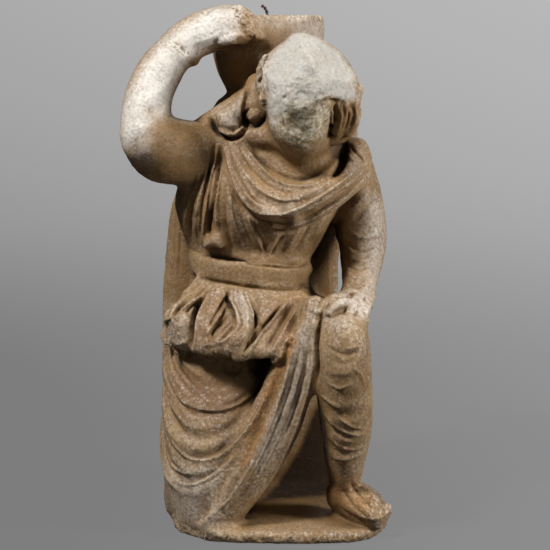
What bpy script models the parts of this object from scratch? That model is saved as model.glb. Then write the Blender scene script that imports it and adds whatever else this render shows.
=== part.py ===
"""A marble statue of a kneeling water carrier, for Blender 4.5.

The figure kneels on its right knee on a thin plinth and steadies a vessel behind its head.
Figure, clothes, vessel and plinth are one block, and a bent wire stands in the vessel's rim.
The free forms are set out from the front, as a carver sees them: each place is given across
and up in the front view, with its depth, as shares of the statue's height.
"""

import math

import bmesh
import bpy
import numpy as np
from mathutils import Matrix, Vector
from mathutils.bvhtree import BVHTree

# Driving sizes, in metres
STATUE_HEIGHT = 0.515
PLINTH_THICKNESS = 0.012
VESSEL_RIM_RADIUS = 0.058
VESSEL_HEIGHT = 0.100
VESSEL_WALL = 0.010
BOWL_DEPTH = 0.068
WIRE_STRAND = 0.0018
WIRE_TWIST = 0.008
WIRE_BORE_DEPTH = 0.008
FIT_GAP = 0.0003

# One share of the height, which is a millimetre on this statue
SHARE = STATUE_HEIGHT / 515
# The figure is carved for a plinth of 12 shares and is lifted if the plinth is thicker
FOOTING = PLINTH_THICKNESS - 12 * SHARE
EYE_HEIGHT = 480 * SHARE + FOOTING
EYE_DISTANCE = 1600 * SHARE
AIM_HEIGHT = 245.4 * SHARE + FOOTING
AIM_UP = 270

# Fineness of the skin
CLAY_GRAIN = 0.0025
RING_POINTS = 28
ROLL_POINTS = 12
VESSEL_POINTS = 48
WIRE_POINTS = 8
BORE_POINTS = 16
SPAN_STEPS = 6
CAP_STEPS = 3
FACES = 9000

MARBLE = (0.52, 0.40, 0.27)
RUSTED_IRON = (0.045, 0.040, 0.036)


class Sight:
    """A front, back or side view. Places in it are across and up, in shares, with a depth."""

    def __init__(self, azimuth):
        turn = Matrix.Rotation(math.radians(azimuth), 3, "Z")
        self.turn = turn
        self.eye = turn @ Vector((0, -EYE_DISTANCE, EYE_HEIGHT))
        self.ahead = (Vector((0, 0, AIM_HEIGHT)) - self.eye).normalized()
        self.right = turn @ Vector((1, 0, 0))
        self.up = self.right.cross(self.ahead)
        self.far = (Vector((0, 0, AIM_HEIGHT)) - self.eye).length

    def ray(self, across, up):
        aim = self.ahead * self.far
        return (aim + self.right * across * SHARE + self.up * (up - AIM_UP) * SHARE).normalized()

    def point(self, across, up, depth):
        ray = self.ray(across, up)
        level = self.turn @ Vector((0, 1, 0))
        return self.eye + ray * ((EYE_DISTANCE + depth * SHARE) / ray.dot(level))


FRONT = Sight(0)
BACK = Sight(180)
LEFT_SIDE = Sight(90)
RIGHT_SIDE = Sight(-90)
ACROSS = Vector((1, 0, 0))
UPWARD = Vector((0, 0, 1))


def smooth_path(rows, steps):
    """A smooth curve through rows of numbers, so that place and size change together."""
    rows = np.array(rows, float)
    padded = np.vstack([2 * rows[0] - rows[1], rows, 2 * rows[-1] - rows[-2]])
    curve = []
    for first in range(len(rows) - 1):
        a, b, c, d = padded[first : first + 4]
        for t in np.linspace(0, 1, steps, endpoint=False):
            curve.append(
                0.5 * (2 * b + (c - a) * t + (2 * a - 5 * b + 4 * c - d) * t**2
                       + (3 * b - a - 3 * c + d) * t**3)
            )
    curve.append(rows[-1])
    return np.array(curve)


def between(first, last, count):
    """Rows that lie evenly between two like rows, both included."""
    first, last = np.array(first, float), np.array(last, float)
    return [first + (last - first) * t for t in np.linspace(0, 1, count)]


def skin(clay, rings):
    """Closed skin through rings of points, with flat first and last faces."""
    made = [[clay.verts.new(point) for point in ring] for ring in rings]
    count = len(made[0])
    faces = [clay.faces.new(made[0][::-1]), clay.faces.new(made[-1])]
    for lower, upper in zip(made, made[1:]):
        for i in range(count):
            j = (i + 1) % count
            faces.append(clay.faces.new((lower[i], lower[j], upper[j], upper[i])))
    bmesh.ops.recalc_face_normals(clay, faces=faces)


def limb(clay, stations, side=ACROSS, points=RING_POINTS):
    """A rounded form along stations of (across, up, depth, half width, half thickness)."""
    rows = [(*FRONT.point(a, u, d), w * SHARE, t * SHARE) for a, u, d, w, t in stations]
    rows = smooth_path(rows, SPAN_STEPS)
    centres = [Vector(row[:3]) for row in rows]
    sizes = [tuple(row[3:]) for row in rows]
    tangents = [Vector(v).normalized() for v in np.gradient(rows[:, :3], axis=0)]
    pile = list(zip(centres, sizes, tangents))
    for end, sign in ((0, -1), (-1, 1)):
        centre, (w, t), along = pile[end]
        cap = []
        for step in range(1, CAP_STEPS + 1):
            angle = math.radians(80) * step / CAP_STEPS
            shift = along * (sign * min(w, t) * math.sin(angle))
            cap.append((centre + shift, (w * math.cos(angle), t * math.cos(angle)), along))
        pile = cap[::-1] + pile if end == 0 else pile + cap
    rings = []
    for centre, (w, t), along in pile:
        wide = (side - along * side.dot(along)).normalized()
        deep = along.cross(wide)
        rings.append([
            centre + wide * (w * math.cos(a)) + deep * (t * math.sin(a))
            for a in (math.tau * i / points for i in range(points))
        ])
    skin(clay, rings)


def roll(clay, stations):
    """A rolled fold of cloth: a round limb along (across, up, depth, radius)."""
    limb(clay, [(a, u, d, r, r) for a, u, d, r in stations], points=ROLL_POINTS)


def stack(clay, levels):
    """A form of slices that each lie along one sight line: (up, left, right, front, back, square).

    Squareness 2 is an oval and more is a rounded box. Sizes change smoothly between the slices.
    """
    rings = []
    for up, left, right, front, back, square in smooth_path(levels, SPAN_STEPS):
        ring = []
        for i in range(RING_POINTS * 2):
            angle = math.tau * i / (RING_POINTS * 2)
            c, s = math.cos(angle), math.sin(angle)
            shape = (abs(c) ** square + abs(s) ** square) ** (-1 / square)
            across = (left + right) / 2 + (right - left) / 2 * c * shape
            depth = (front + back) / 2 + (back - front) / 2 * s * shape
            ring.append(FRONT.point(across, up, depth))
        rings.append(ring)
    skin(clay, rings)


def plinth(clay):
    """A thin oval plate with a worn edge."""
    outline = [
        (-101, -50), (-88, -84), (-58, -102), (-10, -107), (40, -108), (80, -102), (100, -84),
        (112, -50), (115, -5), (108, 50), (80, 100), (20, 122), (-45, 120), (-92, 92), (-106, 30),
    ]
    closed = outline + outline[:3]
    plan = smooth_path(closed, 5)[5 : 5 * (len(outline) + 1)]
    rings = []
    for z, grow in ((-1.0, 0.96), (0.25, 0.985), (0.7, 1.0), (1.0, 0.985)):
        rings.append([
            Vector((x * grow * SHARE, y * grow * SHARE, z * PLINTH_THICKNESS)) for x, y in plan
        ])
    skin(clay, rings)


def kneeling_leg(clay):
    """The thigh that stands upright on its knee, under tight cloth, and the shin behind it."""
    stack(clay, [
        (225, -85, 5, -50, 60, 2.4),
        (190, -108, 15, -64, 65, 2.4),
        (150, -111, 5, -76, 65, 2.4),
        (110, -112, -8, -86, 60, 2.4),
        (70, -111, -25, -90, 60, 2.4),
        (40, -107, -40, -88, 60, 2.4),
        (16, -98, -52, -84, 60, 2.4),
    ])
    limb(clay, [(-74, 50, -20, 38, 36), (-74, 50, 30, 36, 34), (-72, 50, 88, 30, 28)])


def raised_leg(clay):
    """The left thigh, level under its cloth, and the upright shin with the bare foot."""
    limb(clay, [(8, 215, 35, 46, 42), (36, 212, -20, 42, 38), (64, 200, -68, 30, 29)])
    limb(clay, [
        (70, 206, -86, 24, 26),
        (70, 188, -90, 25, 28),
        (70, 150, -80, 27, 29),
        (71, 115, -70, 25, 28),
        (70, 85, -60, 20, 24),
        (69, 64, -52, 16, 21),
        (66, 50, -44, 16, 21),
    ])
    limb(clay, [(68, 55, -44, 16, 16), (80, 45, -62, 17, 13), (93, 36, -82, 17, 10),
                (102, 31, -92, 15, 8)], side=Vector((1, 0.8, 0)))


def torso(clay):
    stack(clay, [
        (215, -92, 45, -42, 70, 2.3),
        (240, -86, 44, -40, 66, 2.3),
        (262, -83, 34, -36, 56, 2.3),
        (283, -82, 34, -34, 52, 2.4),
        (300, -88, 44, -42, 52, 2.4),
        (325, -97, 57, -52, 52, 2.4),
        (350, -100, 72, -52, 50, 2.4),
        (378, -86, 84, -42, 46, 2.3),
        (398, -70, 78, -28, 40, 2.2),
        (412, -50, 62, -18, 32, 2.0),
    ])


def belt(clay):
    """A broad flat belt. It dips to the front, because the body leans forward."""
    front = [(-85, 281, 4, 3, 13), (-79, 279, -22, 4, 13), (-63, 276, -42, 4, 13),
             (-37, 273, -50, 4, 13), (-11, 271, -50, 4, 13), (13, 270, -44, 4, 13),
             (28, 270, -24, 4, 12), (32, 271, 4, 3, 12)]
    limb(clay, front, side=Vector((0, 1, 0)))
    stack(clay, [
        (264, -83, 34, -40, 60, 2.5),
        (272, -83, 35, -42, 61, 2.5),
        (290, -83, 35, -40, 58, 2.5),
    ])


def skirt(clay):
    """The short skirt of the tunic, with its hem broken off all round."""
    stack(clay, [
        (270, -78, 34, -42, 60, 2.3),
        (254, -84, 38, -58, 62, 2.3),
        (238, -95, 38, -72, 66, 2.3),
        (218, -109, 28, -84, 68, 2.4),
        (204, -111, 14, -90, 68, 2.3),
        (196, -95, 4, -88, 60, 2.2),
        (188, -70, -4, -82, 50, 2.2),
    ])
    left = between(
        [(-76, 267, -36, 4), (-89, 250, -48, 6), (-102, 229, -60, 8), (-102, 206, -61, 9)],
        [(-51, 261, -48, 4), (-58, 242, -64, 6), (-67, 219, -78, 8), (-69, 198, -83, 10)],
        4,
    )
    right = between(
        [(9, 254, -46, 5), (-3, 233, -68, 7), (-16, 212, -84, 7), (-29, 193, -90, 9)],
        [(31, 247, -40, 5), (22, 229, -64, 6), (12, 211, -82, 6), (0, 193, -88, 8)],
        3,
    )
    doubled = [
        [(-38, 260, -48, 5), (-40, 248, -60, 6), (-36, 236, -70, 7), (-29, 224, -80, 8),
         (-33, 210, -88, 8), (-47, 203, -90, 8), (-58, 197, -88, 9)],
        [(-37, 225, -82, 5), (-43, 215, -84, 5), (-51, 209, -86, 5)],
        [(-29, 257, -48, 4), (-23, 240, -66, 5), (-22, 223, -78, 6), (-29, 203, -88, 7),
         (-37, 189, -90, 8)],
        [(-13, 257, -50, 6), (-14, 242, -62, 6), (-19, 227, -74, 6)],
    ]
    for fold in left + doubled + right:
        roll(clay, fold)


def tunic_knot(clay):
    """The little loop of cloth that stands over the belt."""
    roll(clay, [(-69, 298, -40, 5), (-65, 304, -46, 5), (-59, 305, -48, 5), (-55, 298, -46, 5)])


def mantle(clay):
    """The mantle is laid round the neck like a cowl and thrown over the left shoulder."""
    collar = [(-37, 409, -16, 4), (-29, 393, -30, 4), (-16, 376, -42, 5), (1, 364, -50, 5),
              (21, 359, -54, 5), (39, 360, -54, 5), (55, 368, -48, 5), (66, 381, -36, 5),
              (72, 395, -20, 6), (72, 407, 0, 6)]
    bed = [(-47, 406, -14, 6), (-37, 387, -28, 9), (-26, 367, -42, 11), (-11, 352, -51, 12),
           (8, 346, -56, 12), (28, 350, -57, 12), (45, 358, -53, 12), (62, 371, -42, 12),
           (75, 385, -26, 12), (83, 397, -4, 12)]
    crest = [(-50, 408, -16, 3), (-45, 393, -30, 4), (-37, 373, -44, 5), (-28, 353, -55, 7),
             (-17, 340, -61, 8), (-4, 333, -65, 8), (11, 334, -66, 8), (27, 342, -64, 7),
             (45, 351, -58, 7), (65, 363, -48, 7), (82, 376, -30, 7), (92, 387, -6, 7)]
    lower = [(-23, 332, -52, 4), (-7, 324, -56, 6), (11, 321, -59, 7), (29, 325, -58, 7),
             (47, 334, -56, 7), (65, 346, -46, 7), (81, 359, -30, 7), (91, 371, -8, 7)]
    tip = [(72, 403, -12, 5), (80, 395, -14, 7), (87, 385, -12, 8), (90, 373, -8, 8)]
    for fold in (collar, bed, crest, lower, tip):
        roll(clay, fold)
    limb(clay, [(68, 385, 12, 22, 34), (77, 371, 14, 24, 36)])


def neck_and_head(clay):
    """The head is bowed, and its whole front is broken away."""
    limb(clay, [(26, 360, -8, 36, 32), (27, 388, -22, 29, 29), (27, 418, -36, 31, 34)])
    stack(clay, [
        (390, 19, 33, -66, -44, 2.0),
        (396, 9, 42, -76, -30, 2.0),
        (404, 1, 49, -82, -18, 2.1),
        (416, -6, 56, -87, -6, 2.1),
        (432, -9, 63, -91, 2, 2.1),
        (448, -12, 74, -95, 8, 2.1),
        (462, -16, 81, -94, 10, 2.1),
        (474, -17, 79, -90, 10, 2.1),
        (485, -13, 73, -84, 8, 2.1),
        (495, -3, 64, -76, 4, 2.1),
        (504, 8, 51, -67, -4, 2.0),
        (510, 14, 38, -60, -14, 2.0),
        (513, 18, 28, -54, -28, 2.0),
    ])


def hair(clay):
    """Thick locks frame the cheeks below the broken cap."""
    for lock in (
        [(74, 467, -50, 9), (77, 452, -50, 8), (75, 435, -48, 7), (77, 423, -42, 6)],
        [(69, 453, -60, 5), (66, 441, -60, 6), (69, 427, -54, 6), (65, 415, -46, 5)],
        [(77, 445, -30, 8), (78, 427, -28, 8), (71, 412, -28, 7), (57, 405, -26, 5)],
        [(61, 417, -40, 5), (55, 407, -38, 5), (47, 403, -36, 4)],
        [(-11, 481, -52, 7), (-13, 467, -54, 6), (-11, 453, -50, 6), (-9, 439, -42, 5)],
        [(-3, 487, -66, 6), (-6, 473, -68, 5), (-7, 459, -64, 5), (-5, 447, -58, 4)],
        [(-13, 461, -40, 6), (-14, 445, -36, 6), (-11, 433, -32, 6)],
    ):
        roll(clay, lock)


def carrying_pad(clay):
    """A thick folded cloth on the shoulders carries the vessel, with its end over the front."""
    yoke = [(-67, 403, 2, 14, 18), (-45, 407, -4, 15, 22), (-23, 411, -10, 15, 26),
            (5, 409, -16, 16, 30)]
    ridge = [(-75, 419, -4, 8, 9), (-61, 428, -6, 9, 10), (-43, 438, -2, 10, 10),
             (-25, 449, 8, 11, 11), (-9, 453, 22, 12, 14)]
    filling = [(-39, 437, 8, 12, 12), (-19, 441, 8, 14, 14), (1, 441, 10, 14, 16)]
    lappet = [(-29, 443, -6, 10, 8), (-37, 435, -14, 13, 8), (-45, 425, -22, 12, 7),
              (-49, 417, -24, 8, 6)]
    curl = [(-25, 433, -20, 4), (-19, 436, -24, 5), (-13, 432, -26, 5), (-15, 426, -26, 5),
            (-21, 426, -24, 4)]
    bolster = [(-39, 425, 40, 30, 26), (-5, 433, 52, 36, 30), (30, 427, 50, 32, 28),
               (60, 410, 36, 24, 24)]
    for form in (yoke, ridge, filling):
        limb(clay, form, side=UPWARD)
    limb(clay, lappet, side=Vector((1, 0, 1)))
    roll(clay, curl)
    limb(clay, bolster)


def vessel_radius(below_rim):
    """Outer radius at a depth below the rim: a straight lip over a round bowl."""
    lip = 0.15 * VESSEL_HEIGHT
    if below_rim < lip:
        return VESSEL_RIM_RADIUS
    share = (below_rim - lip) / (VESSEL_HEIGHT - lip)
    return VESSEL_RIM_RADIUS * max(0.12, math.sqrt(1 - share**2))


def hollow_radius(below_rim):
    """Inner radius at a depth below the rim: the wall is left standing over a round floor."""
    floor = VESSEL_RIM_RADIUS * math.sqrt(max(0, 1 - (below_rim / BOWL_DEPTH) ** 2))
    return max(0.001, min(vessel_radius(below_rim) - VESSEL_WALL, floor))


def rim_centre():
    return FRONT.point(-8, 530, 55)


def vessel(clay):
    """A round-bottomed vessel with an open mouth, turned from its profile."""
    outside = [(vessel_radius(d), d) for d in np.linspace(VESSEL_HEIGHT, 0, 16)]
    inside = [(hollow_radius(d), d) for d in np.linspace(0, BOWL_DEPTH, 12)]
    rings = []
    for radius, below in outside + inside:
        rings.append([
            rim_centre() + Vector((radius * math.cos(a), radius * math.sin(a), -below))
            for a in (math.tau * k / VESSEL_POINTS for k in range(VESSEL_POINTS))
        ])
    skin(clay, rings)


def raised_arm(clay):
    """The right arm, bent so that its hand holds the vessel's rim."""
    upper = [(-61, 393, 8, 26, 26), (-80, 392, -8, 31, 31), (-110, 395, -30, 34, 33),
             (-125, 406, -44, 29, 30)]
    fore = [(-128, 411, -44, 27, 29), (-129, 430, -38, 24, 26), (-125, 453, -28, 23, 24),
            (-113, 477, -18, 22, 22), (-102, 492, -10, 19, 20)]
    cuff = [(-110, 503, -6, 5), (-100, 499, -20, 5), (-90, 491, -22, 5), (-82, 484, -14, 6),
            (-79, 483, -6, 5)]
    hand = [(-97, 498, -6, 20, 19), (-79, 509, 0, 22, 19), (-61, 516, 8, 22, 18),
            (-45, 521, 14, 19, 15), (-36, 521, 18, 14, 12)]
    limb(clay, upper)
    limb(clay, fore, side=Vector((1, 0, 0.5)))
    roll(clay, cuff)
    limb(clay, hand, side=Vector((0.4, 0, 1)))
    for finger in (
        [(-49, 534, 12, 8), (-38, 534, 8, 7), (-30, 525, -2, 6), (-24, 513, -6, 5)],
        [(-43, 527, 2, 7), (-32, 523, -6, 6), (-23, 515, -8, 6), (-19, 507, -8, 5)],
        [(-53, 511, -6, 9), (-41, 508, -10, 9), (-31, 508, -8, 7)],
    ):
        roll(clay, finger)


def resting_arm(clay):
    """The left arm hangs in its sleeve, and the hand lies on the raised thigh behind the knee."""
    limb(clay, [
        (70, 385, 8, 22, 34),
        (81, 363, 10, 22, 32),
        (85, 333, 12, 25, 30),
        (86, 303, 10, 26, 29),
        (84, 277, -8, 22, 25),
        (82, 259, -28, 19, 20),
        (81, 247, -42, 16, 15),
    ])
    limb(clay, [(82, 245, -44, 15, 12), (82, 237, -58, 14, 12), (83, 231, -68, 12, 10)])
    for finger in (
        [(77, 245, -52, 7), (65, 244, -60, 6), (53, 241, -70, 5), (45, 233, -80, 4)],
        [(79, 240, -62, 7), (66, 240, -72, 6), (56, 237, -80, 5), (50, 230, -88, 4)],
        [(85, 237, -70, 8), (90, 229, -76, 7), (92, 223, -76, 5)],
    ):
        roll(clay, finger)


def drapery_fall(clay):
    """The mantle's end falls from the raised knee to the ground in long folds."""
    body = [(39, 237, -58, 12, 24), (35, 223, -64, 13, 26), (28, 200, -68, 16, 26),
            (17, 160, -68, 21, 24), (1, 120, -68, 24, 22), (-21, 80, -70, 24, 22),
            (-45, 42, -74, 20, 20), (-62, 17, -78, 18, 16)]
    edge = [(17, 215, -70, 5, 10), (7, 187, -78, 8, 10), (-5, 153, -82, 10, 10),
            (-21, 117, -84, 12, 10), (-41, 80, -84, 12, 10), (-60, 47, -84, 10, 10)]
    first = [(27, 220, -86, 3), (18, 193, -92, 4), (8, 160, -94, 5), (-7, 123, -96, 6),
             (-28, 83, -96, 6), (-50, 47, -96, 5), (-69, 21, -94, 5)]
    last = [(42, 220, -88, 4), (41, 190, -90, 5), (34, 157, -90, 6), (22, 125, -88, 6),
            (1, 89, -86, 7), (-26, 50, -86, 7), (-49, 21, -88, 6)]
    limb(clay, body)
    limb(clay, edge)
    for fold in between(first, last, 4):
        roll(clay, fold)


def cloak(clay):
    """The cloak that hangs from the shoulders down the back to the plinth."""
    stack(clay, [
        (418, -40, 50, 20, 78, 2.6),
        (405, -62, 68, 8, 86, 2.8),
        (380, -84, 80, 14, 90, 3.0),
        (345, -100, 86, 26, 92, 3.2),
        (300, -106, 60, 40, 94, 3.6),
        (230, -111, 60, 48, 97, 3.6),
        (150, -111, 62, 54, 101, 3.4),
        (90, -104, 64, 56, 103, 3.0),
        (40, -98, 66, 58, 105, 2.8),
        (20, -96, 66, 58, 105, 2.8),
    ])


def row_of(width, height, first, last, count):
    """Like lines laid evenly from one guide line to another."""
    return [(width, height, row) for row in between(first, last, count)]


def fan(width, height, first, last, count):
    """Ridges and grooves by turns, laid evenly from one guide line to another."""
    rows = between(first, last, count)
    return [(width, height if i % 2 == 0 else -1.3 * height, row) for i, row in enumerate(rows)]


# Carved lines seen from the front: width, height (below zero for a groove), then places
FRONT_LINES = (
    # The tunic on the breast
    fan(5, 2.6, [(-85, 367), (-91, 340), (-87, 299)], [(-47, 393), (-46, 345), (-37, 297)], 7)
    + [(6, -6, [(-59, 393), (-64, 350), (-64, 302)])]
    + fan(5, 2.2, [(-34, 353), (-23, 320), (-13, 289)], [(47, 330), (40, 309), (21, 287)], 7)
    # The cowl and the deep gap at the left of the neck
    + fan(
        5, -3.0,
        [(-43, 380), (-21, 333), (13, 325), (51, 345), (87, 373)],
        [(-32, 395), (-15, 366), (13, 353), (51, 365), (67, 381)],
        5,
    )
    + [(7, -8, [(68, 402), (67, 387), (59, 368)])]
    # The neck, the gap inside the hair and the hollow of the broken face
    + [
        (9, -5, [(-5, 395), (25, 376), (58, 395)]),
        (8, -8, [(61, 445), (59, 425), (62, 402)]),
        (16, -5, [(13, 429), (22, 417), (28, 403)]),
        (14, 2, [(7, 445), (25, 443), (60, 457)]),
        (14, 3, [(21, 509), (27, 491), (41, 471)]),
        (14, -3, [(1, 483), (5, 465), (15, 453)]),
        (14, -3, [(53, 493), (61, 479), (63, 467)]),
    ]
    # Deep grooves between the skirt's folds
    + [
        (6, -6, [(-65, 262), (-79, 237), (-86, 215), (-87, 193)]),
        (4, -5, [(-72, 264), (-85, 247), (-97, 229), (-100, 215)]),
        (4, -4, [(-55, 261), (-63, 240), (-70, 217), (-72, 195)]),
        (5, -6, [(-44, 259), (-48, 243), (-53, 227), (-63, 213)]),
        (6, -6, [(-19, 257), (-18, 237), (-19, 217), (-25, 200)]),
    ]
    + row_of(5, -6, [(6, 242), (-8, 219), (-25, 193)], [(27, 240), (19, 223), (9, 205)], 3)
    # Tight cloth that hangs in bows between the two sides of the kneeling leg
    + fan(
        6, 2.6,
        [(-107, 173), (-91, 149), (-67, 141), (-41, 147), (-9, 173)],
        [(-108, 71), (-94, 55), (-78, 53), (-62, 63), (-47, 81)],
        9,
    )
    # The long fall of drapery
    + row_of(
        4, -5,
        [(22, 210), (13, 190), (2, 157), (-15, 123), (-37, 85), (-57, 53), (-71, 29)],
        [(37, 217), (33, 192), (25, 158), (12, 124), (-9, 86), (-34, 49), (-56, 22)],
        3,
    )
    # The worn knee, the wrinkles above the ankle, the toes and the sleeve
    + [(6, -3, [(53, 193), (68, 188), (83, 192)])]
    + fan(4, 2.0, [(49, 149), (69, 139), (95, 143)], [(53, 93), (70, 87), (91, 93)], 7)
    + row_of(3, -3, [(81, 41), (92, 23)], [(92, 49), (106, 30)], 3)
    + fan(5, 2.2, [(61, 317), (83, 307), (109, 317)], [(63, 265), (83, 258), (101, 265)], 7)
)

# The same for the back and the two sides, plainer
BACK_LINES = fan(9, 5, [(-34, 385), (-50, 250), (-50, 30)], [(66, 395), (98, 250), (94, 30)], 9)
RIGHT_SIDE_LINES = (
    fan(8, 3, [(84, 160), (40, 185), (-10, 200)], [(84, 50), (40, 62), (-44, 120)], 7)
    + fan(6, 4, [(-40, 262), (-50, 205)], [(60, 262), (74, 205)], 9)
    + fan(7, 4, [(-70, 370), (-68, 200), (-74, 30)], [(-92, 370), (-94, 200), (-98, 30)], 3)
)
LEFT_SIDE_LINES = (
    fan(8, 3, [(-84, 232), (-40, 238), (30, 225)], [(-62, 196), (-20, 176), (40, 178)], 5)
    + fan(7, 4, [(62, 350), (66, 200), (74, 30)], [(88, 350), (92, 200), (98, 30)], 3)
)


def spots_on_skin(tree, sight, line):
    """Where a line drawn on a view lands on the skin: place, outward normal and end taper."""
    path = smooth_path(line, 8)
    spots = []
    for share, (across, up) in zip(np.linspace(0, 1, len(path)), path):
        spot, normal, index, distance = tree.ray_cast(sight.eye, sight.ray(across, up))
        if spot is not None:
            spots.append((*spot, *normal, min(1, 5 * min(share, 1 - share) + 0.15)))
    return np.array(spots)


def push_along(points, normals, spots, reach, height):
    """Points near a line of spots are pushed out, most at the line itself."""
    low = spots[:, :3].min(axis=0) - reach
    high = spots[:, :3].max(axis=0) + reach
    near = np.where(((points > low) & (points < high)).all(axis=1))[0]
    here, outward = points[near], normals[near]
    nearest = np.full(len(near), np.inf)
    push = np.zeros((len(near), 3))
    for first, last in zip(spots, spots[1:]):
        run = last[:3] - first[:3]
        if np.linalg.norm(run) > 4 * reach:
            continue
        t = np.clip((here - first[:3]) @ run / max(run @ run, 1e-12), 0, 1)
        away = np.linalg.norm(here - (first[:3] + t[:, None] * run), axis=1)
        share = np.clip(1 - away / reach, 0, 1)
        blend = share * share * (3 - 2 * share) * 0.5 + 0.5 * share**1.5
        blend = blend * np.clip(outward @ first[3:6] * 2, 0, 1) * (first[6] + (last[6] - first[6]) * t)
        closer = away < nearest
        nearest = np.where(closer, away, nearest)
        push = np.where(closer[:, None], blend[:, None] * first[3:6], push)
    amount = np.linalg.norm(push, axis=1)[:, None]
    points[near] += (push * 0.6 + outward * amount * 0.4) * height


def carve(mesh, sight, lines):
    """Ridges and grooves are pushed out of or into the skin along lines drawn on a view of it."""
    tree = BVHTree.FromPolygons([v.co for v in mesh.vertices], [p.vertices for p in mesh.polygons])
    points = np.array([v.co for v in mesh.vertices])
    normals = np.array([v.normal for v in mesh.vertices])
    for width, height, line in lines:
        spots = spots_on_skin(tree, sight, line)
        if len(spots) > 1:
            push_along(points, normals, spots, width * SHARE, height * SHARE)
    mesh.vertices.foreach_set("co", points.ravel())
    mesh.update()


def work_in_modifiers(obj):
    """The object's mesh becomes what its modifiers make of it."""
    graph = bpy.context.evaluated_depsgraph_get()
    mesh = bpy.data.meshes.new_from_object(obj.evaluated_get(graph), depsgraph=graph)
    obj.modifiers.clear()
    obj.data = mesh


def fuse(obj, smoothing):
    """The overlapping forms become one closed skin, lightly smoothed."""
    remesh = obj.modifiers.new("Fuse", "REMESH")
    remesh.mode = "VOXEL"
    remesh.voxel_size = CLAY_GRAIN
    smooth = obj.modifiers.new("Smooth", "SMOOTH")
    smooth.factor = 0.5
    smooth.iterations = smoothing
    work_in_modifiers(obj)


def level_underside(obj):
    """The plinth is cut level at the ground, so that it stands."""
    cut = bmesh.new()
    cut.from_mesh(obj.data)
    geometry = cut.verts[:] + cut.edges[:] + cut.faces[:]
    made = bmesh.ops.bisect_plane(
        cut, geom=geometry, dist=1e-7, plane_co=(0, 0, 0), plane_no=(0, 0, -1), clear_outer=True
    )
    rim = [e for e in made["geom_cut"] if isinstance(e, bmesh.types.BMEdge)]
    bmesh.ops.holes_fill(cut, edges=rim)
    bmesh.ops.triangulate(cut, faces=[f for f in cut.faces if len(f.verts) > 4])
    cut.to_mesh(obj.data)
    cut.free()


def bore_floor():
    """The bore goes down from the top of the rim, in the middle of the wall at the back."""
    return rim_centre() + Vector((0, VESSEL_RIM_RADIUS - VESSEL_WALL / 2, -WIRE_BORE_DEPTH))


def make_wire():
    """A twisted wire that stands in the rim of the vessel and is bent over at its top."""
    bend = [(0, 0), (0, WIRE_BORE_DEPTH / SHARE), (-0.5, WIRE_BORE_DEPTH / SHARE + 4),
            (-3, WIRE_BORE_DEPTH / SHARE + 8.5), (-6, WIRE_BORE_DEPTH / SHARE + 10.5)]
    path = [Vector((x * SHARE, 0, z * SHARE)) for x, z in smooth_path(bend, SPAN_STEPS)]
    wire = bmesh.new()
    rings = []
    far = 0
    for i, place in enumerate(path):
        before, after = path[max(i - 1, 0)], path[min(i + 1, len(path) - 1)]
        along = (after - before).normalized()
        wide = along.cross(Vector((0, 1, 0))).normalized()
        deep = along.cross(wide)
        far += (place - before).length
        ring = []
        for angle in (math.tau * k / WIRE_POINTS for k in range(WIRE_POINTS)):
            turned = angle + math.tau * far / WIRE_TWIST
            radius = WIRE_STRAND * (0.66 + 0.34 * math.cos(2 * angle))
            ring.append(
                bore_floor() + place + wide * (radius * math.cos(turned)) + deep * (radius * math.sin(turned))
            )
        rings.append(ring)
    skin(wire, rings)
    mesh = bpy.data.meshes.new("wire_hook")
    wire.to_mesh(mesh)
    wire.free()
    mesh.materials.append(surface("dark iron wire", RUSTED_IRON, roughness=0.5, metallic=0.85))
    mesh.shade_smooth()
    hook = bpy.data.objects.new("wire_hook", mesh)
    bpy.context.scene.collection.objects.link(hook)


def drill_rim(statue):
    """The wire stands in a bore in the back of the rim, with a small gap all round."""
    cutter = bmesh.new()
    bmesh.ops.create_cone(
        cutter, cap_ends=True, segments=BORE_POINTS, depth=2 * WIRE_BORE_DEPTH,
        radius1=WIRE_STRAND + FIT_GAP, radius2=WIRE_STRAND + FIT_GAP,
        matrix=Matrix.Translation(bore_floor() + Vector((0, 0, WIRE_BORE_DEPTH - FIT_GAP))),
    )
    mesh = bpy.data.meshes.new("wire_bore")
    cutter.to_mesh(mesh)
    cutter.free()
    bore = bpy.data.objects.new("wire_bore", mesh)
    bpy.context.scene.collection.objects.link(bore)
    cut = statue.modifiers.new("Bore", "BOOLEAN")
    cut.operation = "DIFFERENCE"
    cut.solver = "EXACT"
    cut.object = bore
    work_in_modifiers(statue)
    bpy.data.objects.remove(bore)


def surface(name, colour, roughness, metallic):
    material = bpy.data.materials.new(name)
    material.use_nodes = True
    shader = material.node_tree.nodes["Principled BSDF"]
    shader.inputs["Base Color"].default_value = (*colour, 1)
    shader.inputs["Roughness"].default_value = roughness
    shader.inputs["Metallic"].default_value = metallic
    return material


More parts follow.
